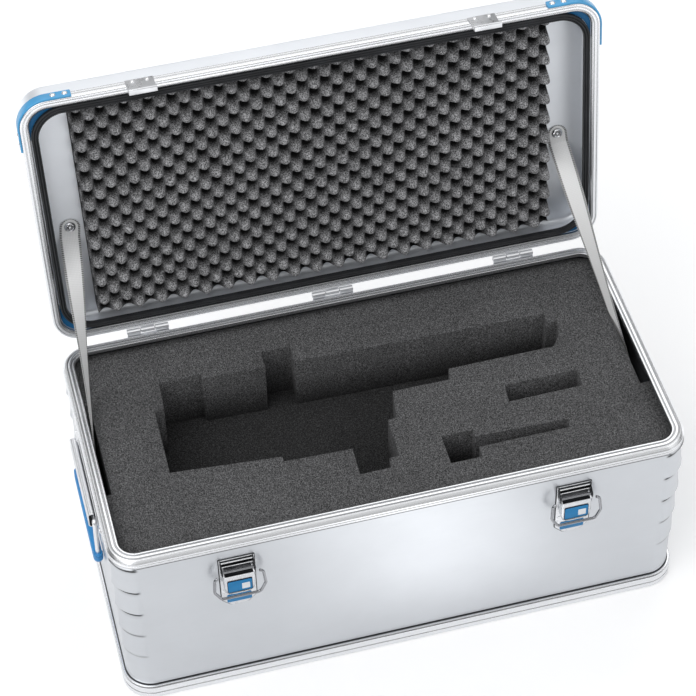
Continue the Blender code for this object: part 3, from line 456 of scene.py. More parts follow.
def finish_of(name, base, roughness, metallic=0, **sockets):
    """A named material with its Principled sockets set, its node tree and that shader."""
    made = bpy.data.materials.new(name)
    made.use_nodes = True
    made.diffuse_color = (*base, 1)
    shader = made.node_tree.nodes["Principled BSDF"]
    feed(
        made.node_tree, shader, Base_Color=base, Roughness=roughness, Metallic=metallic, **sockets,
    )
    return made, made.node_tree, shader


def coordinates(tree, source="Object", scale=(1, 1, 1)):
    """Object or UV coordinates, scaled per axis."""
    place = node(tree, "TexCoord").outputs[source]
    return node(tree, "Mapping", Vector=place, Scale=scale).outputs["Vector"]


def noise(tree, place, **given):
    """A noise pattern over the given coordinates."""
    return node(tree, "TexNoise", Vector=place, **given).outputs["Fac"]


def attribute(tree, name):
    """The numbers that mark gave to a piece's vertices."""
    return node(tree, "Attribute", attribute_name=name).outputs["Fac"]


def ramp(tree, factor, *stops, interpolation="LINEAR"):
    """A factor turned into a number or colour by stops of (position, value)."""
    made = node(tree, "ValToRGB", Fac=factor)
    scale = made.color_ramp
    scale.interpolation = interpolation
    for number, (position, value) in enumerate(stops):
        stop = scale.elements[number] if number < 2 else scale.elements.new(position)
        stop.position = position
        stop.color = (*value, 1) if isinstance(value, tuple) else (value, value, value, 1)
    return made.outputs["Color"]


def spread(tree, factor, low, high, ends=(0.3, 0.7)):
    """A factor turned into a number or colour between low and high."""
    return ramp(tree, factor, (ends[0], low), (ends[1], high))


def tinted(base, factor):
    """A colour made darker or lighter."""
    return tuple(min(value * factor, 1) for value in base)


def toned(tree, pattern, base, low, high, ends=(0.3, 0.7)):
    """A colour's two tints, spread by a pattern."""
    return spread(tree, pattern, tinted(base, low), tinted(base, high), ends)


def reckon(tree, operation, first, second):
    """Two numbers put together by a Math node."""
    made = node(tree, "Math", operation=operation)
    plug(tree, made.inputs[0], first)
    plug(tree, made.inputs[1], second)
    return made.outputs[0]


def mixed(tree, factor, first, second, data_type="RGBA", blend_type="MIX"):
    """Two colours, or two numbers where the data type is FLOAT, mixed by a factor."""
    made = node(tree, "Mix", data_type=data_type, blend_type=blend_type)
    start, result = (6, 2) if data_type == "RGBA" else (2, 0)
    for number, value in ((0, factor), (start, first), (start + 1, second)):
        plug(tree, made.inputs[number], value)
    return made.outputs[result]


def bump(tree, height, strength, distance, **under):
    """The normal of a surface that a pattern raises, over another Normal where one is given."""
    made = node(tree, "Bump", Height=height, Strength=strength, Distance=distance, **under)
    return made.outputs["Normal"]


def painted_crease_shade(tree, colours, base):
    """Colours with painted shade along creases and grooves, by the surface's crease attribute."""
    return mixed(tree, attribute(tree, "crease"), colours, tinted(base, 0.06))


def sheet_finish(name, base, roughness, metallic=1):
    """Rolled aluminium sheet: soft cloudy stains, fine rolling grain and slight waviness.

    Metallic below 1 is a satin sheet, which scatters some of the light.
    """
    made, tree, shader = finish_of(name, base, roughness, metallic)
    place, along = coordinates(tree), coordinates(tree, "Object", (24, 24, 900))
    clouds = noise(tree, place, Scale=5, Detail=5, Roughness=0.6)
    grain = noise(tree, along, Scale=1, Detail=3, Roughness=0.6)
    waved = bump(tree, noise(tree, place, Scale=7, Detail=1), 0.25, 0.002)
    feed(
        tree, shader, Base_Color=painted_crease_shade(tree, toned(tree, clouds, base, 0.955, 1.03), base),
        Roughness=spread(tree, grain, roughness - 0.05, roughness + 0.06),
        Normal=bump(tree, grain, 0.05, 0.0004, Normal=waved),
    )
    return made


def drawn_finish(name, base, roughness, across=1500):
    """Extruded or drawn metal: fine die lines along the piece, from its UV map."""
    made, tree, shader = finish_of(name, base, roughness, 1)
    lines = noise(tree, coordinates(tree, "UV", (4, across, 1)), Scale=1, Detail=4, Roughness=0.65)
    feed(
        tree, shader, Base_Color=painted_crease_shade(tree, toned(tree, lines, base, 0.94, 1.03), base),
        Roughness=spread(tree, lines, roughness - 0.05, roughness + 0.06),
        Normal=bump(tree, lines, 0.12, 0.0003),
    )
    return made


def pressed_finish(name, base, roughness):
    """Tumbled pressed metal for latch and handle fittings: fine speckle and handling marks."""
    made, tree, shader = finish_of(name, base, roughness, 1)
    place = coordinates(tree)
    marks = noise(tree, place, Scale=60, Detail=4, Roughness=0.7)
    feed(
        tree, shader, Base_Color=painted_crease_shade(tree, toned(tree, marks, base, 0.90, 1.05), base),
        Roughness=spread(tree, marks, roughness - 0.04, roughness + 0.08),
        Normal=bump(tree, noise(tree, place, Scale=900, Detail=2), 0.08, 0.0002),
    )
    return made


def moulded_finish(name, base, roughness, gloss=0.5):
    """Moulded plastic: fine spark-eroded texture with slight flow marks and a clear gloss."""
    made, tree, shader = finish_of(
        name, base, roughness, Specular_IOR_Level=gloss, Coat_Weight=0.3 * gloss, Coat_Roughness=0.25,
    )
    place = coordinates(tree)
    texture = noise(tree, place, Scale=1400, Detail=2)
    feed(
        tree, shader, Base_Color=toned(tree, noise(tree, place, Scale=30, Detail=2), base, 0.92, 1.1),
        Roughness=spread(tree, texture, roughness - 0.08, roughness + 0.08),
        Normal=bump(tree, texture, 0.12, 0.0002),
    )
    return made


def foam_finish(name, base, cell):
    """Open-cell foam: dark pores, a cell apart, in a paler skeleton with faint wide patches.

    It darkens as its height attribute nears 0, as light fades between the pegs and in the
    pockets.
    """
    made, tree, shader = finish_of(name, base, 0.95, Specular_IOR_Level=0.25)
    place = coordinates(tree)
    cells = node(tree, "TexVoronoi", Vector=place, Scale=1 / cell, Randomness=1).outputs["Distance"]
    grain = noise(tree, place, Scale=0.55 / cell, Detail=3, Roughness=0.7)
    patches = noise(tree, place, Scale=9, Detail=2)
    pores = mixed(tree, 0.45, cells, grain, "FLOAT")
    tone = toned(tree, pores, base, 0.05, 4.2, (0.30, 0.74))
    fade = spread(tree, attribute(tree, "height"), 0.03, 1.0, (0.16, 0.74))
    for shade in (spread(tree, patches, 0.85, 1.0), fade):
        tone = mixed(tree, 1, tone, shade, blend_type="MULTIPLY")
    feed(tree, shader, Base_Color=tone, Normal=bump(tree, pores, 0.55, 0.0009))
    return made


def rubber_finish(name, base):
    """Extruded rubber: matt, with faint lines along it and a dusty bloom."""
    made, tree, shader = finish_of(name, base, 0.5, Specular_IOR_Level=0.3)
    bloom = noise(tree, coordinates(tree), Scale=40, Detail=4)
    lines = noise(tree, coordinates(tree, "UV", (6, 1800, 1)), Scale=1, Detail=2)
    feed(
        tree, shader, Base_Color=toned(tree, bloom, base, 0.8, 1.5),
        Normal=bump(tree, lines, 0.2, 0.0003),
    )
    return made


def webbing_finish(name, base):
    """Flat webbing: ribs across it, twill along it and a dark dotted line near each edge.

    The UV map runs in metres, u along the strap and v round its section. The edge attribute
    runs from 0 at the middle to 1 at each edge.
    """
    made, tree, shader = finish_of(name, base, 0.8, Sheen_Weight=0.3, Sheen_Roughness=0.5)

    def bands(way, scale, **given):
        """Waves along one way of the UV map."""
        place = coordinates(tree, "UV", scale)
        made = node(tree, "TexWave", bands_direction=way, Vector=place, Scale=1, **given)
        return made.outputs["Fac"]

    weft = bands("X", (130, 1, 1), Distortion=0.3, Detail=1)
    warp = bands("Y", (1, 160, 1), Distortion=0.2, Detail=1)
    dots = spread(tree, bands("X", (105, 0, 0), Distortion=0), 0.35, 1, (0.45, 0.60))
    weave = reckon(tree, "MULTIPLY", weft, warp)
    line = ramp(tree, attribute(tree, "edge"), (0.76, 0), (0.80, 1), (0.97, 1), (0.995, 0.5))
    stitch = reckon(tree, "MULTIPLY", line, dots)
    tone = toned(tree, weave, base, 0.90, 1.08, (0, 1))
    feed(
        tree, shader, Base_Color=mixed(tree, stitch, tone, tinted(base, 0.05)),
        Normal=bump(tree, weave, 0.3, 0.0003),
    )
    return made


FINISHES = {}


def make_finishes(tones):
    """Every material of the case, once."""
    FINISHES.update(
        sheet=sheet_finish("Sheet aluminium", tones.sheet, 0.36),
        # The wall's sheet is a darker copy of the sheet, painted shade on the walls, and the lid's is a
        # lighter copy, painted light on the lid.
        wall=sheet_finish("Wall sheet aluminium", tinted(tones.sheet, 0.88), 0.34),
        lid=sheet_finish("Lid sheet aluminium", tinted(tones.sheet, 1.28), 0.42, 0.6),
        # Near-black steel: painted shade on the latch's ears, inside its lever cup and behind the lever.
        dark=pressed_finish("Dark steel for painted shade", (0.030, 0.031, 0.034), 0.40),
        frame=drawn_finish("Extruded aluminium frame", tones.frame, 0.26),
        plate=pressed_finish("Pressed latch metal", tones.plate, 0.27),
        handle=drawn_finish("Drawn handle aluminium", tones.frame, 0.30, 900),
        wire=pressed_finish("Bright steel wire", tones.wire, 0.08),
        rivet=pressed_finish("Rivet aluminium", tones.frame, 0.22),
        corner=moulded_finish("Blue corner moulding", (0.060, 0.340, 0.640), 0.38),
        grip=moulded_finish("Blue grip moulding", tones.blue, 0.34),
        # A darker copy of the blue: painted shade on the fillers deep in the lid's corners.
        filler=moulded_finish("Shaded blue moulding", tinted(tones.blue, 0.45), 0.45, 0.2),
        label=moulded_finish("Blue plate", (0.015, 0.200, 0.445), 0.36, 0.2),
        field=moulded_finish("White field", (0.78, 0.80, 0.82), 0.40),
        outline=moulded_finish("Dark plate edge", (0.008, 0.020, 0.050), 0.40, 0.2),
        foam=foam_finish("Cut foam", tones.foam, 0.0016),
        # A lighter copy of the foam: painted light on the lit tops of the egg-crate's pegs.
        crate=foam_finish("Egg-crate foam", tinted(tones.foam, 2.7), 0.0018),
        rubber=rubber_finish("Rubber seal", tones.rubber),
        webbing=webbing_finish("Strap webbing", tones.webbing),
    )


def finish_called(name):
    """A finish by its short name; the first call makes them all."""
    if not FINISHES:
        make_finishes(bpy.context.scene.case_finishes)
    return FINISHES[name]


# Below the rim's top: the first rib's crease, and the seam under the rim's frame.
FIRST_CREASE = 0.021
RIM_SEAM = 0.0167

# The height in which a rib steps back, and each rib's share of the full depth.
RIB_STEP = 0.0058
RIB_STRENGTHS = (1.0, 0.95, 0.85, 0.60, 0.45)


def crease_heights(sizes):
    """The height of each rib's crease, from the top down."""
    return sizes.rim_top - FIRST_CREASE - sizes.rib_pitch * np.arange(sizes.rib_count)


def rib_span(sizes, bearing):
    """1 along the middle of a corner's arc, falling as a smooth step to 0 at its two ends."""
    within = np.minimum(bearing, pi / 2 - bearing) - sizes.rib_end
    rise = np.clip(within / radians(12), 0, 1)
    return rise * rise * (3 - 2 * rise)


def rib_offset(sizes, z, out):
    """How far the wall stands out at each height and direction.

    Going down, the wall slopes out as (fall / pitch)^1.6 and steps back over a short
    height at each crease. The first rib has only the rim's short slope above it.
    """
    pitch = sizes.rib_pitch
    share = np.linspace(0, 1, 7)[1:]
    keys, heights = [-0.0078, -0.0045, 0], [0, 0.8, 0]
    for number in range(1, sizes.rib_count):
        keys += [*((number - 1) * pitch + share * (pitch - RIB_STEP)), number * pitch]
        heights += [*(share ** 1.6 * RIB_STRENGTHS[number]), 0]
    bearing = np.arctan2(np.abs(out[:, 1]), np.abs(out[:, 0]))
    rise = np.interp(sizes.rim_top - FIRST_CREASE - z, keys, heights, left=0, right=0)
    return sizes.rib_depth * rise[:, None] * rib_span(sizes, bearing)[None]


def crease_lines(made, sizes):
    """Painted shade under each rib's crease and along the seams: the sum of strength exp(-((z - line) /
    width)^2).

    Each rib's line ends where the rib does, and the upper ribs are the sharper ones. The
    seams at the foot and rim run all round, and the foot's is squarer, with a fourth power.
    """
    place = places(made)
    corner = np.array((sizes.half_x, sizes.half_y)) - sizes.corner_radius
    past = np.maximum(np.abs(place[:, :2]) - corner, 0)
    span = rib_span(sizes, np.arctan2(past[:, 1], past[:, 0]))
    z = place[:, 2]
    shade = np.exp(-(((z - 0.0254) / 0.0012) ** 4))
    shade += 0.9 * np.exp(-(((z - sizes.rim_top + RIM_SEAM) / 0.0010) ** 2))
    for strength, crease in zip(RIB_STRENGTHS, crease_heights(sizes)):
        shade += 1.8 * strength**2 * np.exp(-(((z - crease + 0.0008) / 0.0020) ** 2)) * span
    mark(made, "crease", shade)


class CASE_OT_walls(bpy.types.Operator):
    """Wall sheet with pressed corner ribs, and the floor sheet"""
    bl_idname = "storage_case.walls"
    bl_label = "Walls"

    def execute(self, context):
        sizes = context.scene.case_sizes
        self.wall(sizes)
        self.bottom(sizes)
        return {"FINISHED"}

    def wall(self, sizes):
        """Outline - outward (inset - rib offset) at each height, and the same a sheet further in."""
        spots, out = case_path(sizes.corner_radius, steps=30)
        top, low = sizes.rim_top - 0.0062, 0.0043
        fine = crease_heights(sizes)[:, None] + sizes.rib_pitch * np.linspace(-0.08, 0.18, 20)
        coarse = np.linspace(low, sizes.rim_top - FIRST_CREASE, 40)
        seams = np.array((0.0256, sizes.rim_top - RIM_SEAM))[:, None] + np.linspace(-0.003, 0.003, 11)
        levels = np.unique(np.concatenate((fine.ravel(), coarse, seams.ravel(), (top,))))
        levels = levels[(levels >= low) & (levels <= top)]
        plan = spots - out * (sizes.wall_inset - rib_offset(sizes, levels, out)[..., None])
        rise = np.broadcast_to(levels[:, None, None], (*plan.shape[:2], 1))
        outer = np.concatenate((plan, rise), axis=2)
        inner = np.concatenate((plan - out * sizes.sheet, rise), axis=2)
        shape = grid(np.concatenate((outer, inner[::-1])), rows_close=True, columns_close=True)
        made = piece("wall_sheet", [shape], "wall", "base", "base_shell", 40)
        crease_lines(made, sizes)

    def bottom(self, sizes):
        """The floor sheet: an edge strip, and a middle pressed down to the ground."""
        field, low, sheet = 0.026, 0.0043, 0.0015
        rows = [
            (0.0045, low), (field, low), (field + 0.005, 0), (field + 0.005, sheet),
            (field + 0.0005, low + sheet), (0.0045, low + sheet),
        ]
        parts = carried(case_path(sizes.corner_radius), rows).transpose(1, 0, 2)
        shape = grid(np.concatenate((parts[2::-1], parts[:2:-1])), columns_close=True, caps=True)
        piece("floor_sheet", [shape], "sheet", "base", "base_floor")


class CASE_OT_frames(bpy.types.Operator):
    """Frames round the rim and the foot of the base"""
    bl_idname = "storage_case.frames"
    bl_label = "Base frames"

    def execute(self, context):
        # Corners are (inset, up, radius) and grooves of painted shade (inset, up, width, depth), in
        # millimetres.
        rim = (
            (2.2, -13.5, 0.3), (0.4, -13.5, 0.2), (0, -12.8, 0.3), (0, -9.4, 0.3), (0.8, -9, 0.2),
            (0.8, -8.3, 0.2), (0, -7.8, 0.4), (0, -5, 1), (4, -0.8, 1.6), (6, 0, 0.4), (6.3, -1.6, 0.4),
            (8, -1.6, 0.4), (8.3, 0, 0.5), (11.8, 0, 0.5), (12.1, -2, 0.4), (13.9, -2, 0.4),
            (14.2, 0, 0.4), (17, 0, 1), (17, -6.5, 0.4), (15.5, -6.5, 0.3), (15.5, -4.8, 0.3),
            (4, -4.8, 0.3), (2.2, -8, 0.3),
        )
        grooves = (
            (13, -2, 0.9, 0.70), (7.2, -1.6, 0.9, 0.80), (0.8, -8.6, 0.7, 0.70),
            (0.3, -13.5, 0.8, 0.90), (17, -3.5, 2, 0.60),
        )
        frame_piece("rim_frame", rim, grooves, context.scene.case_sizes.rim_top, "base", "base_rim")
        foot = (
            (-3, 1, 0.8), (-3, 9.5, 0.3), (-2.2, 10.3, 0.3), (-2.2, 11.2, 0.3), (-3, 12, 0.3),
            (-3, 22.2, 1), (-1.4, 24.5, 0.9), (1.2, 24.5, 0.3), (1.6, 23.6, 0.2), (2.2, 23.6, 0.2),
            (2.2, 4, 0.4), (17, 4, 0.4), (17, 0, 0.4), (-1, 0, 1),
        )
        grooves = ((2.1, 23.7, 0.6, 1.0), (-2.2, 10.8, 0.7, 0.45))
        frame_piece("foot_frame", foot, grooves, 0, "base", "base_foot_frame")
        return {"FINISHED"}


# Corners of each pocket, as shares of the foam's half length and half width.
POCKETS = (
    ((-0.695, 0.604), (-0.542, 0.607), (-0.542, 0.563), (-0.312, 0.55109), (-0.312, 0.700),
     (-0.204, 0.700), (-0.204, 0.5465), (0.725, 0.512), (0.720, 0.419), (0.761, 0.419),
     (0.743, 0.271), (0.710, 0.184), (0.317, 0.179), (0.307, 0.077), (0.097, 0.077),
     (0.077, -0.174), (0.046, -0.174), (0.041, -0.517), (0.005, -0.522), (0.003, -0.604),
     (-0.110, -0.609), (-0.107, -0.368), (-0.350, -0.353), (-0.350, -0.307), (-0.741, -0.240),
     (-0.736, 0.343), (-0.702, 0.348)),
    ((0.480, -0.240), (0.752, -0.232), (0.759, -0.078), (0.487, -0.086)),
    ((0.205, -0.425), (0.319, -0.425), (0.319, -0.491), (0.651, -0.506), (0.651, -0.583),
     (0.319, -0.588), (0.319, -0.680), (0.205, -0.680)),
)


def cut_sheet(name, outlines, low, high, ease):
    """Shapes of a flat sheet with holes, its edges eased, from filled flat curves."""
    curve = bpy.data.curves.new(name, "CURVE")
    curve.dimensions = "2D"
    curve.fill_mode = "BOTH"
    curve.extrude = (high - low) / 2 - ease
    curve.bevel_depth = ease
    curve.bevel_resolution = 1
    curve.offset = -ease
    for outline in outlines:
        spline = curve.splines.new("POLY")
        spline.points.add(len(outline) - 1)
        spline.points.foreach_set("co", np.pad(outline, ((0, 0), (0, 2))).ravel())
        spline.use_cyclic_u = True
    holder = bpy.data.objects.new(name, curve)
    bpy.context.scene.collection.objects.link(holder)
    graph = bpy.context.evaluated_depsgraph_get()
    mesh = bpy.data.meshes.new_from_object(holder.evaluated_get(graph))
    bpy.data.objects.remove(holder)
    bpy.data.curves.remove(curve)
    points = np.zeros(len(mesh.vertices) * 3)
    mesh.vertices.foreach_get("co", points)
    faces = [list(face.vertices) for face in mesh.polygons]
    bpy.data.meshes.remove(mesh)
    marks = np.zeros((sum(len(face) for face in faces), 2))
    return points.reshape(-1, 3) + (0, 0, (low + high) / 2), faces, marks


class CASE_OT_foam(bpy.types.Operator):
    """Cut foam with its pockets, and the plain foam below"""
    bl_idname = "storage_case.foam"
    bl_label = "Cut foam"

    def execute(self, context):
        sizes, foam = context.scene.case_sizes, context.scene.case_foam
        spots, out = case_path(sizes.corner_radius, steps=10)
        outer = spots - out * foam.inset
        reach = np.array((sizes.half_x, sizes.half_y)) - foam.inset
        slot_x, slot_low, slot_high = sizes.half_x - 0.0255, -0.0625, 0.0775
        slot = np.array([
            (reach[0], slot_low), (slot_x, slot_low), (slot_x, slot_high), (reach[0], slot_high),
        ])
        rear = len(outer) // 2
        outline = np.concatenate((outer[:rear], slot[::-1] * (-1, 1), outer[rear:], slot))
        holes = [eased(np.array(pocket) * reach, 0.0006, 2) for pocket in POCKETS]
        floor = foam.top - foam.depth
        shape = cut_sheet("cut", [outline, *holes], floor, foam.top, 0.0005)
        made = piece("cut_foam", [shape], "foam", "base", "foam_insert", 30)
        # The height attribute paints shade down the pockets' walls.
        mark(made, "height", 1 - 0.66 * (foam.top - places(made)[:, 2]) / foam.depth)
        low = 0.0064
        shape = slab(outer, floor - GAP - low, (0, 0, low), TOP, 0.001)
        made = piece("foam_block", [shape], "foam", "base", "foam_base", 30)
        # An even low height: painted shade on the foam below, seen at the pockets' floors.
        mark(made, "height", np.full(len(made.data.vertices), 0.34))
        return {"FINISHED"}


class CASE_OT_lid(bpy.types.Operator):
    """Drawn lid sheet with its rim frame and rubber seal"""
    bl_idname = "storage_case.lid"
    bl_label = "Lid"

    def execute(self, context):
        sizes, lid = context.scene.case_sizes, context.scene.case_lid
        self.panel(sizes, lid)
        depth = lid.rim_depth / MM
        rim = (
            (2.2, 14, 0.4), (0, 14, 0.8), (0, 10, 0.3), (0.6, 9.2, 0.2), (0.6, 7.8, 0.2), (0, 7, 0.3),
            (0, 0.4, 1.6), (3, 0, 0.4), (3.3, 1.1, 0.3), (4.6, 1.1, 0.3), (4.9, 0, 0.4), (7.8, 0, 0.4),
            (8.1, 1, 0.3), (8.9, 1, 0.3), (9.2, 0.3, 0.3), (depth, 1.6, 0.6), (depth, 5.5, 0.4),
            (2.2, 5.5, 0.4),
        )
        # Grooves of painted shade: (inset, up, width, depth), in millimetres.
        grooves = (
            (4, 1.1, 0.8, 0.30), (8.5, 1, 0.8, 0.45), (depth, 2, 1, 0.70), (0.6, 8.5, 0.9, 0.60),
        )
        frame_piece("lid_rim_frame", rim, grooves, lid.low, "lid", "lid_rim")
        self.seal(lid)
        return {"FINISHED"}

    def panel(self, sizes, lid):
        """A section from the middle over the edge's arc and back inside, carried round the case.

        The outer arc has the edge's radius, the inner one is a sheet smaller.
        """
        low, top, sheet = lid.low + 0.0048, lid.low + lid.height, sizes.sheet
        turn = np.linspace(0, pi / 2, 9)
        bend = np.stack((1 - np.cos(turn), np.sin(turn) - 1), axis=1)
        outer = (sizes.wall_inset, top) + lid.edge_radius * bend
        inner = (sizes.wall_inset + sheet, top - sheet) + (lid.edge_radius - sheet) * bend
        edge = [(sizes.wall_inset, low), (sizes.wall_inset + sheet, low)]
        flat, middle = sizes.wall_inset + lid.edge_radius + 0.0006, 0.036
        above, below = [(middle, top), (flat, top)], [(flat, top - sheet), (middle, top - sheet)]
        rows = np.concatenate((above, outer[::-1], edge, inner, below))
        points = carried(case_path(sizes.corner_radius, steps=20), rows).transpose(1, 0, 2)
        shell = swung([grid(points, columns_close=True, caps=True)])
        piece("lid_sheet", shell, "lid", "lid", "lid_shell", 30)

    def seal(self, lid):
        """A flat strip with ridges below: base + 1.6 mm (1 - |sin 2.5 pi t|^0.6) across it."""
        outer, wide, base = lid.rim_depth + 0.0015, 0.0090, lid.low + 0.0010
        share = np.linspace(0, 1, 41)
        ridges = base + 0.0016 * (1 - np.abs(np.sin(2.5 * pi * share)) ** 0.6)
        flat = [(outer + wide, base + 0.0060), (outer, base + 0.0060)]
        section = np.concatenate((np.stack((outer + wide * share, ridges), axis=1), flat))
        points = carried(case_path(lid.seal_radius, steps=20), section)
        shape = grid(points, rows_close=True, columns_close=True)
        piece("rubber_seal", swung([shape]), "rubber", "lid", "lid_seal", 40)


# The egg-crate foam's length and width, in half pitches.
CRATE_HALVES = np.array((41, 22))


class CASE_OT_crate_foam(bpy.types.Operator):
    """Egg-crate foam glued inside the lid"""
    bl_idname = "storage_case.crate_foam"
    bl_label = "Egg-crate foam"

    def execute(self, context):
        sizes, lid, foam = (getattr(context.scene, f"case_{part}") for part in ("sizes", "lid", "foam"))
        under = lid.low + lid.height - sizes.sheet - GAP
        shape = self.pegs(foam, under)
        made = piece("egg_crate_foam", swung([shape]), "crate", "lid", "lid_foam", 60)
        # The height attribute paints shade into the hollows between the pegs.
        thick = under - lid_turn(places(made), lid.open_angle)[:, 2]
        mark(made, "height", (thick - foam.crate_low) / (foam.crate_high - foam.crate_low))
        return {"FINISHED"}

    def pegs(self, foam, under):
        """Thickness = low + (high - low) s(w), w = (1 + cos(pi a) cos(pi b)) / 2.

        a and b count half pitches, and s = w^1.5 / (w^1.5 + (1-w)^1.5) fattens the pegs and
        the hollows. A little drift bends the rows as glued foam does. The 0.36 has the sheet
        cut between two rows, so its edge waves gently.
        """
        half = foam.crate_pitch / 2
        corner = CRATE_HALVES * half / 2
        x, y = (np.linspace(-end, end, count * 8 + 1) for end, count in zip(corner, CRATE_HALVES))
        x, y = np.meshgrid(x, y, indexing="ij")
        drift = 0.0006 * np.sin(9.1 * x + 1.3) + 0.0005 * np.sin(17.3 * y)
        a, b = (x + drift + corner[0]) / half + 0.36, (y - drift + corner[1]) / half + 0.36
        wave = np.cos(pi * a) * np.cos(pi * b)
        share, other = (np.clip((1 + way * wave) / 2, 0, 1) ** 1.5 for way in (1, -1))
        uneven = 1 + 0.03 * np.sin(41 * x + 23 * y) + 0.02 * np.sin(67 * x - 31 * y)
        thick = foam.crate_low + (foam.crate_high - foam.crate_low) * share / (share + other) * uneven
        face = np.stack((x, y, under - thick), axis=-1)
        points = np.pad(face, ((1, 1), (1, 1), (0, 0)), mode="edge")
        points[[0, -1], :, 2] = under
        points[:, [0, -1], 2] = under
        spots, faces, marks = grid(points)
        index = np.arange(points[..., 0].size).reshape(points.shape[:2])
        border = np.concatenate((index[0, :-1], index[:-1, -1], index[-1, :0:-1], index[:0:-1, 0]))
        return spots, [*faces, border.tolist()], np.concatenate((marks, np.zeros((len(border), 2))))


class CASE_OT_corners(bpy.types.Operator):
    """Blue corner mouldings of the lid, their rivets and the fillers beside the seal"""
    bl_idname = "storage_case.corners"
    bl_label = "Corner mouldings"

    def execute(self, context):
        sizes, lid = context.scene.case_sizes, context.scene.case_lid
        for number in (2, 3):
            self.moulding(number, sizes, lid)
        for number in range(4):
            self.filler(number, sizes, lid)
        self.rivets(sizes, lid)
        return {"FINISHED"}

    def moulding(self, number, sizes, lid):
        """A round-edged section carried round the corner, four fifths of its size at its ends."""
        low, high, inner, outer = lid.low + 0.0010, lid.low + 0.0160, -GAP, -GAP - 0.0025
        section = rounded([
            (inner, low, 0.0003), (outer, low, 0.0012), (outer, high, 0.0012), (inner, high, 0.0003),
        ], 5)
        path = case_path(sizes.corner_radius, (number,), (0.015, 0.030, 0.0330, lid.wing), 20)
        rows = carried(path, section)
        core = rows.mean(axis=1, keepdims=True)
        size = np.ones((len(rows), 1, 1))
        size[[0, -1]] = 0.80
        shape = grid(core + (rows - core) * size, columns_close=True, caps=True)
        one_of(
            QUARTERS[number], "corner_moulding", swung([shape]), "corner", "lid",
            "lid_corner", 35,
        )

    def filler(self, number, sizes, lid):
        """A slab between the rim's inner corner and the seal's wider one."""
        beyond = lid.seal_radius - sizes.corner_radius
        by_rim, out_rim = case_path(sizes.corner_radius, (number,), (beyond,))
        by_seal, out_seal = case_path(lid.seal_radius, (number,))
        near = by_rim - out_rim * (lid.rim_depth + GAP)
        far = by_seal - out_seal * (lid.rim_depth + 0.0015 - GAP)
        pad = slab(np.concatenate((near, far[::-1])), 0.0040, (0, 0, lid.low + 0.0060), TOP)
        # The fillers take the shaded blue: painted shade.
        one_of(
            QUARTERS[number], "corner_filler", swung([pad]), "filler", "lid",
            "lid_pad", 35,
        )

    def rivets(self, sizes, lid):
        """Two domed rivets on each wing, and their heads on the inside of the lid's wall."""
        shapes = []
        outer, inner = lid.low + 0.0085, lid.low + 0.0220
        for side in (-1, 1):
            for along in (0.010, 0.026):
                x = side * (sizes.half_x - sizes.corner_radius - along)
                y = sizes.corner_radius + along - sizes.half_y
                in_x = side * (sizes.half_x - 0.0040)
                shapes += [
                    dome((x, -sizes.half_y - 0.0028, outer), (0, -1, 0), 4, 2),
                    dome((side * (sizes.half_x + 0.0028), y, outer), (side, 0, 0), 4, 2),
                    dome((x, 0.0040 - sizes.half_y, inner), (0, 1, 0), 3, 1.2),
                    dome((in_x, y, inner), (-side, 0, 0), 3, 1.2),
                    dome((in_x, -y, inner), (-side, 0, 0), 3, 1.2),
                ]
        piece("moulding_rivets", swung(shapes), "rivet", "lid")


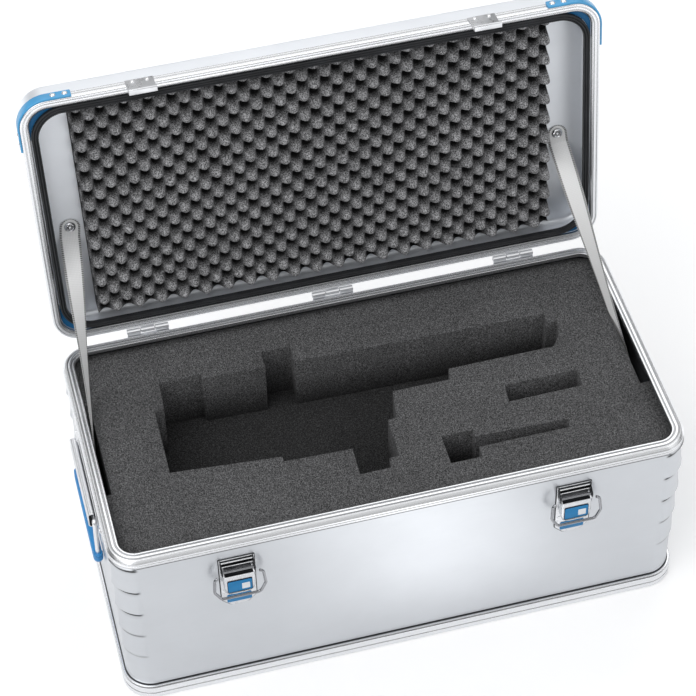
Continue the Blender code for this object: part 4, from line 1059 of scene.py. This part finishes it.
class CASE_OT_latches(bpy.types.Operator):
    """Latch plates, levers, coloured plates, pins and wire bails, and the catches on the lid"""
    bl_idname = "storage_case.latches"
    bl_label = "Latches"

    # Distances out from the wall, and the height of the bail's pivot.
    lever_face = 0.0160
    bail_pivot = (0.0130, 0.2495)

    def execute(self, context):
        fittings = context.scene.case_fittings
        for name, side in SIDES:
            x = side * fittings.spread
            self.back_plate(name, x, fittings.plate_half)
            self.lever(name, x, fittings.lever_half)
            self.coloured(name, x)
            self.wire(name, x, fittings.wire, fittings.bail_half)
            self.catch(name, x, context.scene.case_lid.low)
        return {"FINISHED"}

    def back_plate(self, name, x, half):
        """The plate on its rubber seal, whose wider edge shows round the plate as painted shade, with its
        ears, pin, painted shade in the recess, bright bars and rivets.
        """
        def flat(rows, ease, thickness, out, edge, steps):
            """Half an outline's rows, mirrored and given a thickness out from the wall."""
            outline = rounded(mirrored(rows), ease) * MM
            return slab(outline, thickness, (x, off_front(out), 0), FRONT, edge, steps)

        sheet, wide = 0.0015, half / MM
        face = GAP + sheet - 0.00005
        # The rubber sheet is a real seal under the plate, made wider than the plate so that its edge is
        # painted shade round it.
        rim = [(wide + 1.3, 272.2, 1.4), (wide + 1.3, 184.4, 6.2), (wide - 11.7, 170.2, 7.2)]
        edge_shade_gasket = flat(rim, 6, 0.0007, 0.0001, 0.0002, 1)
        one_of(name, "latch_gasket_and_edge_shade", [edge_shade_gasket], "rubber", "base")
        # The ears take the near-black steel: painted shade on them.
        ear = rounded([
            (-1, 271.5, 0.3), (-1, 250, 0.3), (-15.3, 250.5, 4.5), (-15.1, 260, 4.5), (-3.2, 271.5, 1.5),
        ], 6) * MM
        wall = off_front(0)
        ears = [slab(ear, sheet, (x + end, wall, 0), ACROSS, 0.0003) for end in (-0.0230, 0.0215)]
        one_of(name, "latch_ears", ears, "dark", "base")
        field = [(wide, 271.5, 1.2), (wide, 185, 6), (wide - 12.5, 171.5, 7)]
        step = [(wide - 3.5, 208, 1), (wide - 3.5, 186.5, 5), (wide - 14.5, 174.5, 5)]
        plate = [flat(field, 6, sheet, GAP, 0.0005, 3), flat(step, 5, 0.0005, face, 0.0004, 3)]
        one_of(name, "latch_back_plate", plate, "plate", "base", "latch_plate")
        pin = mirrored([(0.1, 23.8), (3, 23.8), (3.4, 23.3), (1.9, 23.1)], 1)
        shape = turned(pin, (x, off_front(0.0103), 0.2560), (1, 0, 0), 20)
        one_of(name, "latch_pivot", [shape], "wire", "base", "latch_pin")
        # A near-black sheet behind the lever's open top: painted shade in the recess.
        outline = rectangle(-0.0212, 0.0212, 0.2440, 0.2698, 0.0012, 3)
        dark = slab(outline, 0.0006, (x, off_front(face), 0), FRONT, 0.0002, 1)
        one_of(name, "latch_recess_shade", [dark], "dark", "base")
        bars = [
            turned(mirrored([(0.1, 21.6), (radius, 21.6)], 1), (x, off_front(out), z), (1, 0, 0), 12)
            for out, z, radius in ((0.0040, 0.2682, 1.1), (0.0050, 0.2612, 0.9))
        ]
        one_of(name, "latch_bars", bars, "rivet", "base")
        rivets = [
            dome((x + side * 0.0210, off_front(GAP + sheet), 0.2030), (0, -1, 0), 1.8, 0.8)
            for side in (-1, 1)
        ]
        one_of(name, "latch_rivets", rivets, "rivet", "base")

    def lever(self, name, x, half):
        """A cup: rounded rows from the foot up to a brim that slopes from back to front.

        A row at share t lies at foot + t (brim - foot), and the half width draws in to the
        foot as an arc. The inner rows run back down one sheet further in.
        """
        sheet, foot, round_off = 0.0013, 0.2130, 0.0110
        front, back = off_front(self.lever_face), off_front(0.0028)
        corner = rectangle(-1, 1, 0, 1, 0.12, 5)

        def rows(shares, inset):
            """The cup's rows at these shares of its height, moved in by the inset."""
            low = foot + inset
            brim = 0.2502 + 0.0090 * np.clip(corner[:, 1], 0, 1) ** 1.4
            z = low + np.reshape(shares, (-1, 1)) * (brim - low)
            climb = np.clip((z - low) / (round_off - inset), 0, 1)
            wide = half - inset - (round_off - inset) * (1 - np.sqrt(1 - (1 - climb) ** 2))
            depth = back - inset + (front - back + 2 * inset) * (1 - corner[:, 1])
            return np.stack((x + corner[:, 0] * wide, np.broadcast_to(depth, z.shape), z), axis=2)

        shares = np.concatenate((np.linspace(0, 0.3, 9), np.linspace(0.4, 1, 7)))
        cup = np.concatenate((rows(shares, 0), rows(shares[::-1], sheet)))
        shapes = [grid(cup, columns_close=True, caps=True)]
        shapes.append(bar(rows([1], sheet / 2)[0], (0, 0, 1), 0.00095, 8, closed=True))
        bridge = eased([
            (back + 0.0001, 0.2500), (front - 0.0001, 0.2440), (front - 0.0001, 0.2425),
            (back + 0.0001, 0.2485),
        ], 0.0003, 2)
        start = (x - half + sheet, 0, 0)
        shapes.append(slab(bridge, 2 * (half - sheet), start, ACROSS, 0.0002, 1))
        # A near-black sheet inside the cup: painted shade in the lever's hollow.
        inner = np.stack((
            x + corner[:, 0] * (half - sheet - 0.0001),
            back - sheet + (front - back + 2 * sheet) * (1 - corner[:, 1]),
        ), axis=1)
        cup_shade = slab(inner, 0.0222, (0, 0, 0.2260), TOP, 0.0003, 1)
        one_of(name, "latch_cup_shade", [cup_shade], "dark", "lever")
        out, height = self.bail_pivot
        for side in (-1, 1):
            pivot = (x + side * (half - 0.0002), off_front(out), height)
            boss = [(0.1, 0), (4.2, 0), (4.2, 0.6), (3.4, 1.1), (0.1, 1.1)]
            shapes.append(turned(boss, pivot, (side, 0, 0), 20))
        one_of(name, "latch_cup", shapes, "plate", "lever", "latch_lever", 40)

    def coloured(self, name, x):
        """Plates on the lever and on the back plate: a blue field with a dark edge, left bare."""
        def plate(ends, levels, out, thickness, radius=0.0022, ease=5, edge=0.0002, steps=2):
            """A rounded rectangle between its ends and levels, given a thickness."""
            outline = rectangle(*ends, *levels, radius, ease)
            return [slab(outline, thickness, (x, off_front(out), 0), FRONT, edge, steps)]

        face = self.lever_face + GAP
        under = plate((-0.0172, 0.0172), (0.2180, 0.2420), face, 0.0006)
        one_of(name, "lever_plate_edge", under, "outline", "lever")
        blue = plate((-0.0164, 0.0164), (0.2188, 0.2412), face + 0.0005, 0.0003)
        one_of(name, "lever_plate", blue, "label", "lever", "latch_badge")
        ends, levels = (0.0025, 0.0135), (0.2225, 0.2345)
        white = plate(ends, levels, face + 0.00075, 0.0002, 0.0009, 3, 0.0001, 1)
        one_of(name, "lever_plate_field", white, "field", "lever")
        strip = plate((-0.0170, 0.0170), (0.1785, 0.1945), 0.0018 + GAP, 0.0008)
        one_of(name, "back_plate_strip", strip, "label", "base", "latch_strip")

    def wire(self, name, x, radius, half):
        """The bail: a bar along a flat path through the lever's sides and round below it."""
        out, height = self.bail_pivot
        pivot, drop = np.array((x, off_front(out), height)), 0.0385
        lean = self.lever_face + 0.0008 + 2 * GAP + radius - out
        way = np.array((0, -lean, -((drop**2 - lean**2) ** 0.5))) / drop
        spots = mirrored([(0.0185, 0), (half - 0.002, 0), (half, 0.024), (half - 0.0085, drop)])
        path = path_of(pivot + spots @ np.array(((1, 0, 0), way)), 0.0065)
        bail = bar(path, np.cross((1, 0, 0), way), radius, 14)
        one_of(name, "wire_bail", [bail], "wire", "bail", "latch_bail")

    def catch(self, name, x, lid_low):
        """Hook plate: a bent section carried across the latch's width, and its two rivets."""
        back = -(RIM.y + GAP)
        outer, end, tip = back - 0.0015, back - 0.0071, back - 0.0086
        low, lip, brim, top = 0.28365, 0.28495, 0.28675, lid_low + 0.0130
        outline = rounded([
            (back, low, 0.0012), (back, top, 0.0004), (outer, top, 0.0007), (outer, lip, 0.0008),
            (end, lip, 0.0007), (end, brim, 0.0004), (tip, brim, 0.0006), (tip, low, 0.0015),
        ], 5)
        hook = slab(outline, 0.038, (x - 0.019, 0, 0), ACROSS, 0.0003)
        one_of(name, "catch_plate", swung([hook]), "plate", "lid", "lid_catch")
        rivets = [
            dome((x + side * 0.010, outer, lid_low + 0.0075), (0, -1, 0), 3, 1.4) for side in (-1, 1)
        ]
        one_of(name, "catch_rivets", swung(rivets), "rivet", "lid")


class CASE_OT_handles(bpy.types.Operator):
    """Drop handles: backing plate, channel bracket, bent bar and moulded grip"""
    bl_idname = "storage_case.handles"
    bl_label = "Handles"

    # The height of the plate's middle and of the bar's axis.
    centre = 0.2500

    def execute(self, context):
        sizes = context.scene.case_sizes
        for name, side in SIDES:
            wall = side * (sizes.half_x - sizes.wall_inset)
            self.fixed(name, side, wall)
            self.swinging(name, side, wall, context.scene.case_fittings.grip_radius)
        return {"FINISHED"}

    def fixed(self, name, side, wall):
        """A long round-ended plate, a channel's section carried along the wall, and rivets."""
        def rivet(out, y, rise, radius, height):
            """A rivet head that stands out from the wall."""
            return dome((wall + side * out, y, self.centre + rise), (side, 0, 0), radius, height)

        outline = rectangle(-0.105, 0.105, -0.020, 0.020, 0.0196, 12)
        origin, ways = (wall + side * GAP, 0, self.centre), ((0, 1, 0), (0, 0, 1), (side, 0, 0))
        plate = slab(outline, 0.0012, origin, ways, 0.0004, 3)
        one_of(name, "handle_backing", [plate], "plate", "base", "handle_plate")
        section = rounded([
            (1.8, 10, 0.2), (1.8, -13, 0.5), (11.2, -13, 1.8), (14, -10, 1.8), (14, -4.6, 0.3),
            (13.3, -4, 0.3), (13.3, 4, 0.3), (14, 4.6, 0.3), (14, 10, 1.8), (11.2, 13, 1.6),
            (10, 13, 0.3), (9.4, 12.3, 0.3), (8.8, 12.3, 0.3), (8.2, 13, 0.3), (5.2, 13, 0.4),
            (5.2, 11.8, 0.4), (10.9, 11.8, 0.8), (12.4, 9.3, 0.8), (12.4, -9.3, 0.8),
            (10.6, -11.8, 0.8), (3, -11.8, 0.3), (3, 10, 0.2),
        ]) * MM
        ways = ((side, 0, 0), (0, 0, 1), (0, 1, 0))
        channel = slab(section, 0.140, (wall, -0.070, self.centre), ways, 0.0002, 1)
        one_of(name, "handle_channel", [channel], "handle", "base", "handle_bracket")
        rivets = [rivet(GAP + 0.0012, y, 0, 4.2, 1.8) for y in (-0.090, 0.090)]
        rivets += [rivet(0.0030, y, 0.0072, 2.2, 1) for y in (-0.060, -0.030, 0, 0.030, 0.060)]
        one_of(name, "handle_rivets", rivets, "rivet", "base")

    def swinging(self, name, side, wall, grip_radius):
        """The bar at one radius, and the grip whose radius changes along its flat path, as collars and a
        brim.
        """
        top = np.array((wall + side * 0.0062, 0, self.centre))
        foot = np.array((wall + side * 0.0082, 0, 0.1700))
        up = unit(top - foot)
        half = np.array((0, 0.0752, 0))
        normal = np.cross(up, (0, 1, 0))
        end = foot + up * 0.0045
        path = path_of([end - half, top - half, top + half, end + half], 0.0060)
        bow = bar(path, normal, 0.0032, 14)
        one_of(name, "handle_bar", [bow], "handle", "handle", "handle_bow")
        brim = foot + up * 0.0160
        path = path_of([brim - half, foot - half, foot + half, brim + half], 0.0075, 10)
        path = np.concatenate((
            np.linspace(path[0], path[1], 22)[:-1], path[1:11],
            np.linspace(path[11], path[-12], 60)[1:-1], path[-11:-1],
            np.linspace(path[-2], path[-1], 22)[1:],
        ))
        run = np.append(0, np.linalg.norm(np.diff(path, axis=0), axis=1).cumsum())
        edge = np.minimum(run, run[-1] - run)
        collars = sum(0.0009 * (np.abs(edge - place) < 0.0008) for place in (0.0038, 0.0078))
        radius = grip_radius - collars - 0.0006 * np.clip(1 - edge / 0.0012, 0, 1)
        grip = bar(path, normal, radius, 20)
        one_of(name, "moulded_grip", [grip], "grip", "handle", "handle_grip")


class CASE_OT_straps(bpy.types.Operator):
    """Lid stay straps with their anchors and eyelet rivets"""
    bl_idname = "storage_case.straps"
    bl_label = "Lid stay straps"

    # The rivets' places: in from the case's side, back from its middle, below the rim's top.
    upper = (0.0475, 0.038)
    lower = (0.0095, -0.045, 0.100)
    thickness = 0.0014

    def execute(self, context):
        sizes, lid, fittings = (
            getattr(context.scene, f"case_{part}") for part in ("sizes", "lid", "fittings")
        )
        for name, side in SIDES:
            self.strap(name, side, sizes, lid, fittings.strap_half)
        return {"FINISHED"}

    def strap(self, name, side, sizes, lid, strap_half):
        """Ribbon: place + a half(s) across(s) + b thick(s), turning as it leaves the wall."""
        def opened(*spot):
            """A place of the shut lid, once it is open."""
            return lid_turn(np.array(spot, float), -lid.open_angle)

        depth = lid.low + lid.height - sizes.sheet - GAP - self.thickness / 2
        rivet = opened(side * (sizes.half_x - self.upper[0]), self.upper[1], depth)
        inset, back, fall = self.lower
        lower = np.array((side * (sizes.half_x - inset), back, sizes.rim_top - fall))
        off_panel = opened(0, 0, 0) - opened(0, 0, 1)
        pull = lower - rivet
        down = unit(pull - off_panel * pull.dot(off_panel))
        bend, tip = rivet + down * 0.018, rivet - down * 0.0125
        along = unit(bend - lower)
        across_low = unit(np.cross((side, 0, 0), along))
        across_high = unit(np.cross(off_panel, down))
        across_high = across_high * np.sign(across_low.dot(across_high))
        share = np.concatenate((np.linspace(0, 1, 90), np.ones(24)))
        travel = np.concatenate((np.zeros(90), np.linspace(0, 1, 25)[1:]))
        centre = lower + (bend - lower) * share[:, None] + (tip - bend) * travel[:, None]
        across = unit(across_low + (across_high - across_low) * (share**2)[:, None])
        through = unit(np.cross(across, unit(np.gradient(centre, axis=0))))
        to_tip = np.linalg.norm(centre - tip, axis=1)
        half = strap_half * (0.78 + 0.22 * share)
        half = half * np.sqrt(np.clip(1 - np.clip(1 - to_tip / half, 0, 1) ** 2, 0.002, 1))
        wide = np.sin(np.linspace(-pi / 2, pi / 2, 25))
        bulge = 0.5 * np.sqrt(np.clip(1 - np.abs(wide) ** 8, 0.02, 1))
        a = np.concatenate((wide, wide[::-1]))
        b = np.concatenate((bulge, -bulge[::-1])) * self.thickness
        points = (
            centre[:, None] + across[:, None] * (half[:, None] * a)[..., None]
            + through[:, None] * b[None, :, None]
        )
        ribbon = grid(points, columns_close=True, caps=True)
        made = one_of(name, "stay_strap", [ribbon], "webbing", "lid", "strap", 50)
        mark(made, "edge", np.tile(np.abs(a), len(centre)))
        made.parent = None
        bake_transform(made)
        start = rivet + off_panel * (self.thickness / 2 + GAP)
        self.fixings(name, start, off_panel, side, lower, sizes.half_x)

    def fixings(self, name, start, off_panel, side, lower, half_x):
        """The eyelet's profile turned on the lid's panel, and a flat button on the base's wall."""
        eyelet = np.array((
            (0.1, 2.6), (1, 2.6), (1.9, 2.1), (2.2, 0.8), (3, 0.4), (4, 0.6), (4.4, 2.2), (5.2, 3),
            (6.6, 2.6), (7.8, 1.2), (8, 0), (0.1, 0),
        ))
        sides = 32
        shape = turned(eyelet, start, off_panel, sides)
        made = one_of(name, "eyelet", [shape], "rivet", "lid", "strap_rivet", 50)
        # Painted shade in the eyelet's hollow and round its foot.
        shade = groove_shade(eyelet, ((3.1, 0.4, 1.2, 1.0), (8, 0, 0.6, 1.0)))
        mark(made, "crease", np.repeat(shade, sides))
        button = [(0.1, 0), (8.5, 0), (8.5, 1.6), (7.8, 2.2), (0.1, 2.2)]
        place = (side * (half_x - 0.0040 - GAP), lower[1], lower[2])
        shape = turned(button, place, (-side, 0, 0))
        one_of(name, "strap_button", [shape], "rivet", "base", "strap_anchor")


class CASE_OT_hinges(bpy.types.Operator):
    """Hinge leaves with their knuckles, pins and rivets"""
    bl_idname = "storage_case.hinges"
    bl_label = "Hinges"

    # A hinge's length and sheet, the distance from one to the next, and the start of a leaf
    # beside its axis.
    long = 0.060
    sheet = 0.0015
    apart = 0.270
    start = 0.0037

    def execute(self, context):
        sizes, lid = context.scene.case_sizes, context.scene.case_lid
        face = sizes.half_y + GAP
        third = self.long * 0.34
        width = (self.long - third) / 2 - 0.0004
        offset = (self.long - width) / 2
        for number in (1, 2, 3):
            x = (number - 2) * self.apart
            ends = [(-offset, width), (offset, width)]
            base = self.leaf(x, face, -1, sizes.rim_top - 0.0135, ends)
            one_of(number, "hinge_base", base, "handle", "base", "hinge_leaf_base")
            top = swung(self.leaf(x, face, 1, lid.low + 0.0140, [(0, third - 0.0008)]))
            one_of(number, "hinge_lid", top, "handle", "lid", "hinge_leaf_lid")
            pin = mirrored([(0.1, 30), (1.3, 30), (1.5, 29.7)], 1)
            rod = turned(pin, (x, *HINGE_AXIS[1:]), (1, 0, 0), 14)
            one_of(number, "hinge_rod", [rod], "wire", "base", "hinge_pin")
        return {"FINISHED"}

    def leaf(self, x, face, way, far, spans):
        """A flat leaf on the frame, and tubes round the axis joined to it by a bent tab.

        It goes up from the axis for a way of 1 and down for -1.
        """
        near = HINGE_AXIS[2] + way * self.start
        low, high = sorted((near, far))
        outline = rectangle(-self.long / 2, self.long / 2, low, high, 0.0012, 3)
        shapes = [slab(outline, self.sheet, (x, face, 0), BACK, 0.0003)]
        for offset, width in spans:
            end = width / 2 / MM
            barrel = mirrored([(1.8, end), (3.7, end), (4, end - 0.3)], 1)
            centre = (x + offset, *HINGE_AXIS[1:])
            shapes += [
                turned(profile, centre, (1, 0, 0), 24, caps=False) for profile in (barrel, barrel[[0, -1]])
            ]
            levels = sorted((near + way * 0.0012, HINGE_AXIS[2] + way * 0.0022))
            reach = width / 2 - 0.0003
            tab = rectangle(-reach, reach, *levels, 0.0002, 2)
            shapes.append(slab(tab, self.sheet, (x + offset, face, 0), BACK, 0.0002, 1))
        rivets = [
            dome((x + side * 0.020, face + self.sheet, (low + high) / 2), (0, 1, 0), 2.4, 1.1)
            for side in (-1, 1)
        ]
        return shapes + rivets


LAMPS = (
    ("Key softbox", (-2.4, -1.4, 3.6), 0.2, 4.0, 88),
    ("Fill softbox", (3.2, -1.6, 2.6), 0.2, 3.4, 28),
    ("Back softbox", (0.6, 3.0, 3.4), 0.3, 4.0, 44),
)


class CASE_OT_stage(bpy.types.Operator):
    """Pale floor, soft studio lamps, world and camera"""
    bl_idname = "storage_case.stage"
    bl_label = "Stage"

    def execute(self, context):
        scene = context.scene
        self.floor(scene)
        self.world(scene)
        for lamp in LAMPS:
            self.lamp(scene, *lamp)
        self.camera(scene)
        scene.view_settings.view_transform = "Standard"
        return {"FINISHED"}

    def camera(self, scene):
        """A long lens, placed and turned as worked out from the case's edges in the photograph."""
        camera = bpy.data.cameras.new("Photograph view")
        camera.lens = 124.232
        camera.sensor_width = 36
        camera.sensor_fit = "HORIZONTAL"
        camera.shift_x = -0.0059
        camera.shift_y = 0.0173
        camera.clip_end = 50
        holder = bpy.data.objects.new("Photograph view", camera)
        scene.collection.objects.link(holder)
        right = Vector((0.967788, -0.251104, -0.018246))
        up = Vector((0.198701, 0.717294, 0.667838))
        back = -Vector((0.154609, 0.649951, -0.744083))
        turn = Matrix((right, up, back)).transposed().to_4x4()
        holder.matrix_world = Matrix.Translation((-0.524797, -2.112699, 2.804164)) @ turn
        scene.camera = holder

    def floor(self, scene):
        """A wide flat floor, pale as a light and brighter to the camera and in reflections."""
        mesh = bpy.data.meshes.new("floor")
        reach, tone = 14, scene.case_finishes.floor
        corners = [(-reach, -reach, 0), (reach, -reach, 0), (reach, reach, 0), (-reach, reach, 0)]
        mesh.from_pydata(corners, [], [(0, 1, 2, 3)])
        made, tree, shader = finish_of("Studio floor", tone, 0.9, Specular_IOR_Level=0)
        light = node(tree, "LightPath").outputs
        glossy = light["Is Glossy Ray"]
        seen = reckon(tree, "MAXIMUM", light["Is Camera Ray"], glossy)
        plain = reckon(tree, "MULTIPLY", seen, self.far(tree))
        glow = reckon(tree, "ADD", plain, reckon(tree, "MULTIPLY", self.pool(tree), glossy))
        feed(
            tree, shader, Base_Color=mixed(tree, seen, (0.80, 0.80, 0.81), tone),
            Emission_Color=(1, 1, 1), Emission_Strength=glow,
        )
        mesh.materials.append(made)
        holder = bpy.data.objects.new("floor", mesh)
        scene.collection.objects.link(holder)

    def far(self, tree):
        """A glow that grows away from the case, so the floor ends in white at low views too."""
        place = node(tree, "TexCoord").outputs["Object"]
        away = node(tree, "VectorMath", operation="LENGTH", Vector=place).outputs["Value"]
        return node(
            tree, "MapRange", interpolation_type="SMOOTHSTEP", Value=away,
            From_Min=1.0, From_Max=3.2, To_Min=0.16, To_Max=1.0,
        ).outputs[0]

    def pool(self, tree):
        """A soft patch of light on the floor before the case, which only its shiny walls show."""
        place = node(tree, "TexCoord").outputs["Object"]
        parts = node(tree, "SeparateXYZ", Vector=place).outputs
        near = node(
            tree, "MapRange", interpolation_type="SMOOTHSTEP", Value=parts["Y"],
            From_Min=-0.22, From_Max=-0.34, To_Min=0, To_Max=0.70,
        ).outputs[0]
        across = node(tree, "MapRange", Value=parts["X"], From_Min=-0.19, From_Max=0.35).outputs[0]
        bell = ramp(tree, across, (0, 0), (0.5, 1), (1, 0), interpolation="EASE")
        return reckon(tree, "MULTIPLY", near, bell)

    def world(self, scene):
        """White to the camera, plain grey as a light, and a bright room with a dark far wall in gloss.

        The gloss runs by the height of its direction: white floor, dark wall, white ceiling.
        """
        world = bpy.data.worlds.new("Studio")
        world.use_nodes = True
        scene.world = world
        tree = world.node_tree
        light = node(tree, "LightPath").outputs
        way = node(tree, "SeparateXYZ", Vector=node(tree, "TexCoord").outputs["Generated"])
        lift = node(tree, "MapRange", Value=way.outputs["Z"], From_Min=-1, From_Max=1).outputs[0]
        room = ramp(
            tree, lift, (0.49, 0.95), (0.525, (0.09, 0.093, 0.10)), (0.68, 0.12), (0.79, 0.90), (1, 0.92),
        )
        gloss = mixed(tree, light["Is Glossy Ray"], (0.52, 0.525, 0.535), room)
        seen = reckon(tree, "MAXIMUM", light["Is Camera Ray"], light["Is Transmission Ray"])
        feed(tree, tree.nodes["Background"], Color=mixed(tree, seen, gloss, (1, 1, 1)))

    def lamp(self, scene, name, place, aim, size, power):
        """A square softbox that faces a point above the floor's middle."""
        light = bpy.data.lights.new(name, "AREA")
        light.shape = "SQUARE"
        light.size = size
        light.energy = power
        holder = bpy.data.objects.new(name, light)
        scene.collection.objects.link(holder)
        way = Vector((0, 0, aim)) - Vector(place)
        holder.matrix_world = Matrix.Translation(place) @ way.to_track_quat("-Z", "Y").to_matrix().to_4x4()


GROUPS = {
    "case_sizes": CaseSizes,
    "case_lid": LidSizes,
    "case_foam": FoamSizes,
    "case_fittings": FittingSizes,
    "case_finishes": Finishes,
}
STEPS = (
    CASE_OT_walls, CASE_OT_frames, CASE_OT_foam, CASE_OT_lid, CASE_OT_crate_foam, CASE_OT_corners,
    CASE_OT_latches, CASE_OT_handles, CASE_OT_straps, CASE_OT_hinges, CASE_OT_stage,
)


class CASE_PT_panel(bpy.types.Panel):
    """Lists the case's pieces in the order in which they are made"""
    bl_label = "Storage Case"
    bl_idname = "CASE_PT_panel"
    bl_space_type = "VIEW_3D"
    bl_region_type = "UI"
    bl_category = "Storage Case"

    def draw(self, context):
        """A button for each operator, then the sizes and colours."""
        for step in STEPS:
            self.layout.operator(step.bl_idname)
        for group in GROUPS:
            box = self.layout.box()
            settings = getattr(context.scene, group)
            for key in settings.__annotations__:
                box.prop(settings, key)


CLASSES = (*GROUPS.values(), *STEPS, CASE_PT_panel)


def register():
    """Adds the classes and the groups of sizes and colours."""
    for item in CLASSES:
        bpy.utils.register_class(item)
    for name, group in GROUPS.items():
        setattr(bpy.types.Scene, name, PointerProperty(type=group))


def unregister():
    """Takes them away again."""
    for name in GROUPS:
        delattr(bpy.types.Scene, name)
    for item in reversed(CLASSES):
        bpy.utils.unregister_class(item)


def main():
    """Makes every piece and the stage."""
    register()
    for step in STEPS:
        group, name = step.bl_idname.split(".")
        getattr(getattr(bpy.ops, group), name)()


if __name__ == "__main__":
    main()
